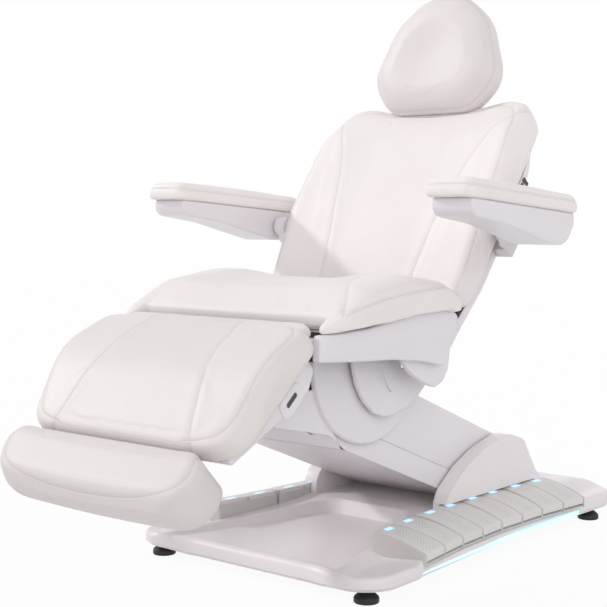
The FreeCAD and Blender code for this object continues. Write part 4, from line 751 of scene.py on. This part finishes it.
def arched_block(name, y0, y1, upper, lower, x0, x1, soft):
    """A block along the bank under the arched line, with soft edges."""
    piece = made(name, bpy.ops.mesh.primitive_grid_add, x_subdivisions=14, y_subdivisions=1, size=2)
    places = points_of(piece) * MM
    x = x0 + (x1 - x0) * (places[:, 0] + 1) / 2
    y = np.where(places[:, 1] < 0, y0, y1)
    set_points(piece, np.stack([x, y, key_line(upper, x)], 1))
    bpy.ops.object.mode_set(mode="EDIT")
    bpy.ops.mesh.select_all(action="SELECT")
    bpy.ops.mesh.extrude_region_move(TRANSFORM_OT_translate={"value": (0, 0, -0.001)})
    bpy.ops.object.mode_set(mode="OBJECT")
    chosen = picked(piece)
    places = points_of(piece)
    places[chosen, 2] = lower(places[chosen, 0]) if callable(lower) else lower
    set_points(piece, places)
    outward()
    soften(piece, soft, 3, 50)
    return piece


def kept(piece, name, values):
    """Keep a number or a vector with every vertex of a piece."""
    kind, field = ("FLOAT_VECTOR", "vector") if values.ndim == 2 else ("FLOAT", "value")
    layer = piece.data.attributes.new(name, kind, "POINT")
    layer.data.foreach_set(field, values.astype(np.float32).ravel())


def on_bank(piece, spot):
    """Set a piece drawn about a module's middle at its place on the bank."""
    x, y, turn = spot
    piece.data.transform(Matrix.Translation((x * MM, y * MM, 0)) @ Matrix.Rotation(turn, 4, "Z"))
    piece.data.update()


def key_bank():
    """Sixteen foot keys in eight ribbed housings, each with a lit sign."""
    ribs = [arched_block("housing", -83.5, 83.5, 21, 52.2, -59, 59, 0.8)]
    for y0, y1, proud in ((-85, -82, 1.2), (-1.5, 1.5, 0.4), (82, 85, 1.2)):
        ribs.append(arched_block("rib", y0, y1, -proud + 1.5, 53, -60, 60.6, 0.8))
    ribs.append(arched_block("heel", -84.2, 84.2, 8.6, 52.6, -61, -54, 0.8))
    module = one(ribs, "housing")
    cap = arched_block("cap", -KEY_W / 2, KEY_W / 2, 0, lambda x: key_line(15.5, x), -60, 60, 2.0)
    applied(cap, "SUBSURF", subdivision_type="SIMPLE", levels=1, render_levels=1)
    places = points_of(cap)
    x, y = places[:, 0], places[:, 1]
    kept(cap, "flat", places * MM)
    kept(cap, "face", smooth((x + 34) / 3) * smooth((56 - x) / 3) * smooth((KEY_W / 2 - 4 - np.abs(y)) / 3))
    lamp = arched_block("lamp", -14, 14, -0.35, lambda x: key_line(1.2, x), -54, -41, 0.3)
    bezel = arched_block("bezel", -15.5, 15.5, -0.2, lambda x: key_line(1.4, x), -55.5, -39.5, 0.2)
    housings = []
    number = 0
    for spot in bank_places():
        near = copied(module, "near_housing")
        on_bank(near, spot)
        housings += [near, flipped(near, "far_housing")]
        for middle in (-KEY_MID, KEY_MID):
            number += 1
            for source, what, slot, finish in (
                    (cap, "key", "key_plastic", KEYS), (lamp, "key_lamp", "light_strip", KEY_LIGHT),
                    (bezel, "key_lamp_rim", "key_housing", HOUSING)):
                left = copied(source, "%s_left_%d_cap" % (what, number))
                left.data.transform(Matrix.Translation((0, middle * MM, 0)))
                on_bank(left, spot)
                right = flipped(left, "%s_right_%d_cap" % (what, number))
                for hand, piece in (("left", left), ("right", right)):
                    body = "key_%s_%d" % (hand, number)
                    dressed(piece, body, slot, finish, *([body] if what == "key" else []))
    for source in (module, cap, lamp, bezel):
        bpy.data.objects.remove(source)
    dressed(one(housings, "key_housing_modules"), "base", "key_housing", HOUSING, "key_housings")


# Upholstery

COVER_FRAMES = 20


def skinned(name, rings):
    """One closed cushion body over a row of rings of places in millimetres."""
    count = len(rings[0])
    last = (len(rings) - 1) * count
    faces = [(i + j, i + (j + 1) % count, i + count + (j + 1) % count, i + count + j)
             for i in range(0, last, count) for j in range(count)]
    faces += [tuple(range(count)), tuple(range(last, last + count))]
    mesh = bpy.data.meshes.new(name)
    mesh.from_pydata([(x * MM, y * MM, z * MM) for ring in rings for x, y, z in ring], [], faces)
    piece = bpy.data.objects.new(name, mesh)
    scene.collection.objects.link(piece)
    only(piece)
    outward()
    return piece


def loft(name, half_width, section, columns=40):
    """A cushion body from side outlines placed across the bed, its two sides closed."""
    rings = []
    for k in range(-columns, columns + 1):
        x = half_width * math.sin(math.pi / 2 * k / columns)
        rings.append([(x, p.x, p.y) for p in rounded(section(abs(x)), 6)])
    return skinned(name, rings)


def pillow(name, layers):
    """A cushion body from level outlines set one above the other, closed below and above."""
    return skinned(name, [[(p.x, p.y, height) for p in rounded(corners, 8)] for height, corners in layers])


def stuffed(piece, cap, voxel=5.0):
    """Cover and stuff a cushion: an even mesh, cut small and swollen from inside, that keeps its size."""
    applied(piece, "REMESH", mode="VOXEL", voxel_size=voxel * MM, use_smooth_shade=True)
    applied(piece, "SMOOTH", factor=0.5, iterations=4)
    drawn = points_of(piece)
    applied(piece, "DISPLACE", strength=-1.5 * MM, mid_level=0.0)
    rest = points_of(piece)
    cloth = piece.modifiers.new("cover", "CLOTH")
    cloth.settings.quality = 5
    cloth.settings.mass = 0.3
    cloth.settings.tension_stiffness = 18
    cloth.settings.compression_stiffness = 18
    cloth.settings.bending_stiffness = 2.0
    cloth.settings.use_pressure = True
    cloth.settings.uniform_pressure_force = 4.0
    cloth.settings.effector_weights.gravity = 0
    cloth.collision_settings.use_collision = False
    cloth.point_cache.frame_start = 1
    cloth.point_cache.frame_end = COVER_FRAMES
    for count in range(1, COVER_FRAMES + 1):
        scene.frame_set(count)
    only(piece)
    bpy.ops.object.modifier_apply(modifier=cloth.name)
    moved = points_of(piece) - rest
    x, y, z = ((rest - rest.mean(axis=0)) / 100).T
    whole = np.stack([x ** 0, x, y, z, x * x, y * y, z * z, x * y, y * z, z * x], 1)
    moved -= whole @ np.linalg.lstsq(whole, moved, rcond=None)[0]
    far = np.linalg.norm(moved, axis=1)
    moved *= (cap * np.tanh(far / cap) / np.maximum(far, 1e-9))[:, None]
    drawn = drawn + moved
    scene.frame_set(1)
    set_points(piece, drawn)
    applied(piece, "SUBSURF", levels=1, render_levels=1)
    only(piece)
    bpy.ops.object.shade_smooth()


def sewn(piece, seams, panel, flat, tone=1.0, groove=0.9, puff=0.7):
    """Sew the seams into a stuffed cushion and keep what its leather needs, with the cushion's share of
    painted shade (1 leaves it unshaded).
    """
    places = points_of(piece)
    normals = np.zeros(len(places) * 3)
    piece.data.vertex_normals.foreach_get("vector", normals)
    normals = normals.reshape(-1, 3)
    gap = np.full(len(places), NO_SEAM)
    run = np.zeros(len(places))
    for near, along in seams:
        closer = np.abs(near) < np.abs(gap)
        gap[closer] = near[closer]
        run[closer] = along[closer]
    lift = puff * np.exp(-((np.abs(gap) - 13) / 9) ** 2) - groove * np.exp(-(gap / 3.0) ** 2)
    set_points(piece, places + normals * lift[:, None])
    # The share of painted shade is kept with every vertex and darkens the whole cushion's leather.
    for name, value in (("seam_gap", gap * MM), ("seam_run", run * MM), ("panel", panel * MM),
                        ("tone", np.full(len(places), tone)), ("flat", flat * MM)):
        kept(piece, name, value)


def round_side(x, half, radius):
    """How far a soft side has turned in at x, from 0 to 1."""
    t = min(max((x - half + radius) / radius, 0), 1)
    return 1 - math.sqrt(max(1 - t * t, 0))


def seat_section(x):
    """Side outline of the seat cushion at x: rolled front, bolster, arched lower side."""
    turn = round_side(x, SEAT_HALF, 62)
    arch = smooth((x - 205) / 45)
    dip = 13 * (1 - smooth((x - 60) / 150))
    rear = 27 + 34 * smooth((x - 212) / 20)
    ear = 44 * smooth((x - 246) / 10) * (1 - 0.7 * smooth((x - 268) / 22))
    low = 525 + 3 * turn
    return [
        (-334 - ear + 4 * turn, low - 4 * ear / 44, 12), (-182, low + 8 * arch, 90),
        (-85, low + 17 * arch, 90), (rear - 46, low + 19 * arch, 30),
        (rear - 4 - 6 * turn, low + 12 * arch, 12), (rear - 2 - 10 * turn, 566, 22),
        (rear - 40 - 10 * turn, 607 - dip - 26 * turn, 46), (-115, 626 - dip - 28 * turn, 240),
        (-262 + 4 * turn, 606 - dip * 0.7 - 26 * turn, 90),
        (-338 - ear * 0.95 + 8 * turn, 556 - 22 * ear / 44, 30)]


def seat_cushion():
    """Seat cushion with perforated middle and front and smooth rear bolsters."""
    piece = loft("seat_cushion_leather", SEAT_HALF, seat_section)
    stuffed(piece, 0.9)
    x, y, z = points_of(piece).T
    side = np.abs(x)
    level = np.interp(y, [-399, -341, -307, -209, -99, 13, 60], [526, 554, 564, 581, 591, 596, 588])
    hem = np.where((side > 240) & (y > -330), z - level, NO_SEAM)
    over, run = beside(side, y, curve_through([
        (290, -346), (262, -303), (232, -258), (200, -210), (178, -140), (166, -60), (160, 40)]))
    top = np.where(z > level - 2, over, NO_SEAM)
    panel = np.where((z < level) & (side > 246), PLAIN, -over)
    # The last value is this cushion's share of painted shade, darker the lower it is.
    sewn(piece, [(hem, y + side * 0.2), (top, run)], panel, np.stack([x, y + (z - 560) * 0.8, z], 1), 0.92)
    return piece


def back_section(x):
    """Side outline of the back cushion at x: dished middle between two wings."""
    turn = round_side(x, BACK_HALF, 34)
    at = [0, 100, 141, 178, 211, 240, 262, BACK_HALF]
    start = np.interp(x, at, [17, 17, 18, 20, 22, 28, 40, 70])
    end = np.interp(x, at, [544, 551, 558, 566, 569, 560, 530, 450])
    foot = np.interp(x, at, [0, 2, 4, 8, 12, 15, 15, 12])
    mid = np.interp(x, at, [44, 45, 49, 54, 58, 62, 64, 62])
    peak = np.interp(x, at, [60, 61, 66, 73, 79, 80, 77, 68])
    top = np.interp(x, at, [44, 44, 44, 44, 43, 42, 40, 32])
    span = end - start
    low = np.interp(x, at, [-31, -31, -31, -32, -34, -36, -38, -36])
    high = np.interp(x, at, [-31, -31, -31, -31, -31, -30, -24, -8])
    points = [
        (start, low, 12), (end, high, 18), (end, top, 26), (start + span * 0.8, peak, 120),
        (start + span * 0.42, mid, 220), (start, foot, 20)]
    return drawn_in(points, 18 * turn) if turn > 0 else points


def back_cushion():
    """Back cushion with a perforated middle panel that widens to the shoulders."""
    piece = loft("back_cushion_leather", BACK_HALF, back_section)
    stuffed(piece, 0.9)
    x, s, n = points_of(piece).T
    side = np.abs(x)
    over, run = beside(side, s, curve_through([
        (124, 0), (128, 90), (134, 150), (142, 210), (157, 280), (176, 360), (190, 400), (207, 440),
        (228, 480), (254, 526)]))
    hem, hem_run = beside(side, s, curve_through([
        (250, 30), (262, 90), (266, 200), (264, 320), (258, 420), (248, 482), (230, 522), (186, 545),
        (90, 533), (0, 524)]))
    front = n > np.interp(s, [0, 120, 500], [-15, 5, 20])
    hem = np.where(front, hem, NO_SEAM)
    top = np.where(front, over, NO_SEAM)
    panel = np.where(front, -over, PLAIN)
    sewn(piece, [(hem, hem_run), (top, run)], panel, np.stack([x, s, n], 1))
    settle(piece, BACK)
    return piece


def leg_section(x):
    """Side outline of the leg rest cushion at x, crowned along its length."""
    turn = round_side(x, LEG_HALF, 32)
    at = [0, 150, 224, 250, 270, LEG_HALF]
    start = np.interp(x, at, [5, 6, 8, 12, 20, 36])
    end = np.interp(x, at, [313, 313, 307, 294, 277, 252])
    head = np.interp(x, at, [72, 71, 68, 66, 64, 60])
    peak = np.interp(x, at, [106, 106, 107, 109, 109, 104])
    toe = np.interp(x, at, [64, 63, 60, 57, 53, 48])
    middle = start + (end - start) * 0.46
    points = [(-end, 16, 16), (-start, 16, 14), (-start, head, 24), (-middle, peak, 200), (-end, toe, 26)]
    return drawn_in(points, 22 * turn) if turn > 0 else points


def leg_cushion():
    """Leg rest cushion with its perforated middle panel and the flap towards the seat."""
    body = loft("leg_cushion_leather", LEG_HALF, leg_section)
    piece = one([body, skinned("flap", flap_rings())], "leg_cushion_leather")
    stuffed(piece, 0.9)
    x, y, n = points_of(piece).T
    u = -y
    side = np.abs(x)
    over, run = beside(side, u, curve_through([
        (116, -6), (118, 30), (126, 60), (128, 90), (134, 120), (140, 150), (149, 180), (157, 210),
        (164, 240), (172, 270), (184, 312)]))
    hem, hem_run = beside(side, u, curve_through([
        (190, 0), (232, 16), (256, 40), (264, 90), (265, 150), (262, 210), (252, 252), (232, 280),
        (196, 294), (172, 298)]))
    front = n > np.interp(u, [0, 60, 240, 306], [40, 55, 50, 30])
    hem = np.where(front, hem, NO_SEAM)
    top = np.where(front, over, NO_SEAM)
    panel = np.where(front & (u > 8), -over, PLAIN)
    # The last value is this cushion's share of painted shade, darker the lower it is.
    sewn(piece, [(hem, hem_run), (top, run)], panel, np.stack([x, u, n], 1), 0.5)
    settle(piece, LEG)
    return piece


def flap_rings():
    """Side outlines of the soft flap at the head of the leg rest, across the bed."""
    rings = []
    for x in np.linspace(-243, 243, 64):
        thin = 1 - 0.4 * smooth((abs(x) - 222) / 20)
        rings.append([(x, p.x, p.y) for p in rounded([
            (-18, 18, 6), (22 * thin, 20, 6), (22 * thin, 43, 8), (-18, 47, 6)], 4)])
    return rings


def foot_section(x):
    """Side outline of the foot pad at x."""
    turn = round_side(x, FOOT_HALF, 40)
    front = 8 * (x / FOOT_HALF) ** 2 + 40 * round_side(x, FOOT_HALF, 66)
    rear = -323 - 30 * round_side(x, FOOT_HALF, 60)
    points = [
        (-434 + front, -27, 44), (rear, -20 + 10 * turn, 20), (rear - 2, 86, 20), (-428 + front, 69, 28),
        (-445 + front, 26, 60)]
    return drawn_in(points, 14 * turn) if turn > 0 else points


def foot_cushion():
    """Pull-out foot pad with one seam round its top."""
    piece = loft("foot_cushion_leather", FOOT_HALF, foot_section)
    stuffed(piece, 0.9)
    x, y, n = points_of(piece).T
    u = -y
    over, run = beside(np.abs(x), u, curve_through([
        (0, 434), (80, 432), (150, 426), (200, 415), (229, 398), (242, 376), (242, 352), (235, 328)]))
    top = np.where(n > 35, over, NO_SEAM)
    # The last value is this cushion's share of painted shade, darker the lower it is.
    sewn(piece, [(top, run)], np.full(len(x), PLAIN), np.stack([x, u, n], 1), 0.2)
    settle(piece, LEG)
    return piece


HEAD_LINE = [(-116, 1, 75), (116, 1, 75), (182, 80, 110), (128, 225, 120), (50, 290, 80), (-50, 290, 80),
             (-128, 225, 120), (-182, 80, 110)]


def headrest_cushion():
    """Headrest pillow, hollowed for the head, with one seam round its edge."""
    layers = [(m, drawn_in(HEAD_LINE, d)) for m, d in (
        (-14, 34), (-9, 22), (2, 10), (16, 3), (31, 0), (46, 2), (58, 8), (70, 20), (79, 38), (83, 56))]
    piece = pillow("headrest_cushion_leather", layers)
    stuffed(piece, 0.6)
    places = points_of(piece)
    x, t, m = places.T
    hollow = 9 * np.exp(-((x / 74) ** 2 + ((t - 140) / 78) ** 2)) * smooth((m - 30) / 30)
    places[:, 2] -= hollow
    set_points(piece, places)
    around = np.arctan2(x, t - 140) * 150
    # The last value is this cushion's share of painted shade, darker the lower it is.
    sewn(piece, [(m - 51, around)], np.full(len(x), PLAIN), np.stack([x, t, m], 1), 0.5)
    settle(piece, HEAD)
    return piece


def arm_pad(name):
    """Upholstered top of the near armrest."""
    line = [(330, -347, 20), (438, -347, 24), (438, 80, 24), (330, 80, 20)]
    layers = [(n, drawn_in(line, d)) for n, d in (
        (37.5, 2.5), (42, 0.5), (56, 0), (66, 2), (73, 7), (77.5, 15), (79, 24))]
    piece = pillow(name, layers)
    stuffed(piece, 1.2, voxel=4.0)
    x, y, n = points_of(piece).T
    around = np.where(np.abs(x - 384) > 40, y, x)
    sewn(piece, [(n - 62, around)], np.full(len(x), PLAIN), np.stack([x, y, n], 1), groove=1.1, puff=0.6)
    settle(piece, ARM)
    return piece


# Making the bed

def make_upholstery():
    """All cushions."""
    for make, body, node in (
            (seat_cushion, "seat", "seat_cushion"), (back_cushion, "back", "back_cushion"),
            (leg_cushion, "leg", "leg_cushion"), (foot_cushion, "foot", "foot_cushion"),
            (headrest_cushion, "headrest", "headrest_cushion")):
        piece = make()
        dressed(piece, body, "upholstery", LEATHER, node)
    left = arm_pad("armrest_pad_left_leather")
    right = flipped(left, "armrest_pad_right_leather")
    for hand, piece in (("left", left), ("right", right)):
        dressed(piece, "armrest_" + hand, "upholstery", LEATHER, "armrest_pad_" + hand)


def make_mouldings():
    """Rigid covers."""
    dressed(base_deck(), "base", "base_plastic", BASE_WHITE, "base_cover")
    dressed(boom_tower(), "base", "base_plastic", BASE_WHITE)
    dressed(tilt_cover(), "seat", "white_plastic", WHITE, "tilt_covers")
    dressed(seat_fender(), "seat", "white_plastic", WHITE, "seat_shells")
    dressed(grip_rims(), "leg", "white_plastic", WHITE)
    dressed(back_shell(), "back", "white_plastic", WHITE, "back_shell")
    for node, body, width in (
            ("boom_cover_lower", "boom", 4), ("boom_cover_upper", "boom", 4), ("carrier_cover", "carrier", 3),
            ("armrest_shell_left", "armrest_left", 4), ("armrest_shell_right", "armrest_right", 4),
            ("armrest_hubs", "armrest_hubs", 3), ("leg_shell", "leg", 3), ("levelling_feet", "base", 2.5)):
        slot, finish = ("foot_rubber", RUBBER) if node == "levelling_feet" else ("white_plastic", WHITE)
        dressed(from_solid(node + "_moulding", node, width), body, slot, finish, node)


def finish_solids():
    """Materials of the solids that stay as they are."""
    finishes = {
        "base_plastic": BASE_WHITE, "chassis": CHASSIS, "foot_rubber": RUBBER, "light_strip": STRIP_LIGHT,
        "control_plastic": BOX_PLASTIC, "key_plastic": KEYS, "key_housing": HOUSING, "white_plastic": WHITE,
        "bright_steel": STEEL, "motor_plastic": MOTOR, "rod_steel": ROD, "upholstery": LEATHER,
        "dark_trim": DARK}
    for name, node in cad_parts.items():
        slot = node.data.materials[0].name.split(".")[0]
        node.data.materials.clear()
        painted = name in ("back_frame", "seat_frame", "leg_frame")
        node.data.materials.append(BACK_FRAME if painted else finishes[slot])


# Camera: focal length and picture width in pixels, sensor in millimetres, place in metres, angles in degrees
FOCAL, WIDTH, SENSOR = 1300, 607, 36.0
CAMERA_AT, CAMERA_FALL, CAMERA_TURN = (1.761, -2.211, 0.747), 4.02, 40.02


def seen_directly(tree):
    """1 where the camera or a reflection sees the surface itself; the result."""
    path = put(tree, "ShaderNodeLightPath")
    return sums(tree, "MAXIMUM", path.outputs["Is Camera Ray"], path.outputs["Is Glossy Ray"])


def studio():
    """Pale floor, soft studio light and the camera."""
    floor = made("studio_floor", bpy.ops.mesh.primitive_plane_add, size=24)
    finish = bpy.data.materials.new("studio_floor")
    finish.use_nodes = True
    tree = finish.node_tree
    tree.nodes.clear()
    matt = put(tree, "ShaderNodeBsdfDiffuse", {"Color": (0.9, 0.9, 0.9, 1)})
    white = put(tree, "ShaderNodeEmission", {"Color": (1, 1, 1, 1), "Strength": 1.0})
    share = sums(tree, "MULTIPLY", seen_directly(tree), 0.94)
    mixed = put(tree, "ShaderNodeMixShader", [share, matt.outputs[0], white.outputs[0]])
    put(tree, "ShaderNodeOutputMaterial", [mixed.outputs[0]])
    floor.data.materials.append(finish)

    world = bpy.data.worlds.new("studio")
    world.use_nodes = True
    scene.world = world
    tree = world.node_tree
    tree.nodes.clear()
    level = put(tree, "ShaderNodeMix", {0: seen_directly(tree), 2: 0.66, 3: 1.0}, data_type="FLOAT")
    sky = put(tree, "ShaderNodeBackground", {"Color": (1, 1, 1, 1), "Strength": level.outputs[0]})
    put(tree, "ShaderNodeOutputWorld", [sky.outputs[0]])

    for name, energy, width, towards in (
            ("studio_lamp_left", 1.1, 5, (-0.75, -0.38, 0.49)),
            ("studio_lamp_right", 0.65, 50, (0.75, -0.45, 0.5))):
        sun = bpy.data.lights.new(name, "SUN")
        sun.energy = energy
        sun.angle = math.radians(width)
        lamp = bpy.data.objects.new(name, sun)
        lamp.rotation_euler = Vector(towards).to_track_quat("Z", "Y").to_euler()
        scene.collection.objects.link(lamp)

    lens = bpy.data.cameras.new("camera")
    lens.sensor_width = SENSOR
    lens.lens = FOCAL / WIDTH * SENSOR
    camera = bpy.data.objects.new("camera", lens)
    camera.location = CAMERA_AT
    camera.rotation_euler = (math.radians(90 - CAMERA_FALL), 0, math.radians(CAMERA_TURN))
    scene.collection.objects.link(camera)
    scene.camera = camera
    scene.view_settings.view_transform = "Standard"


finish_solids()
make_mouldings()
key_bank()
make_upholstery()
studio()
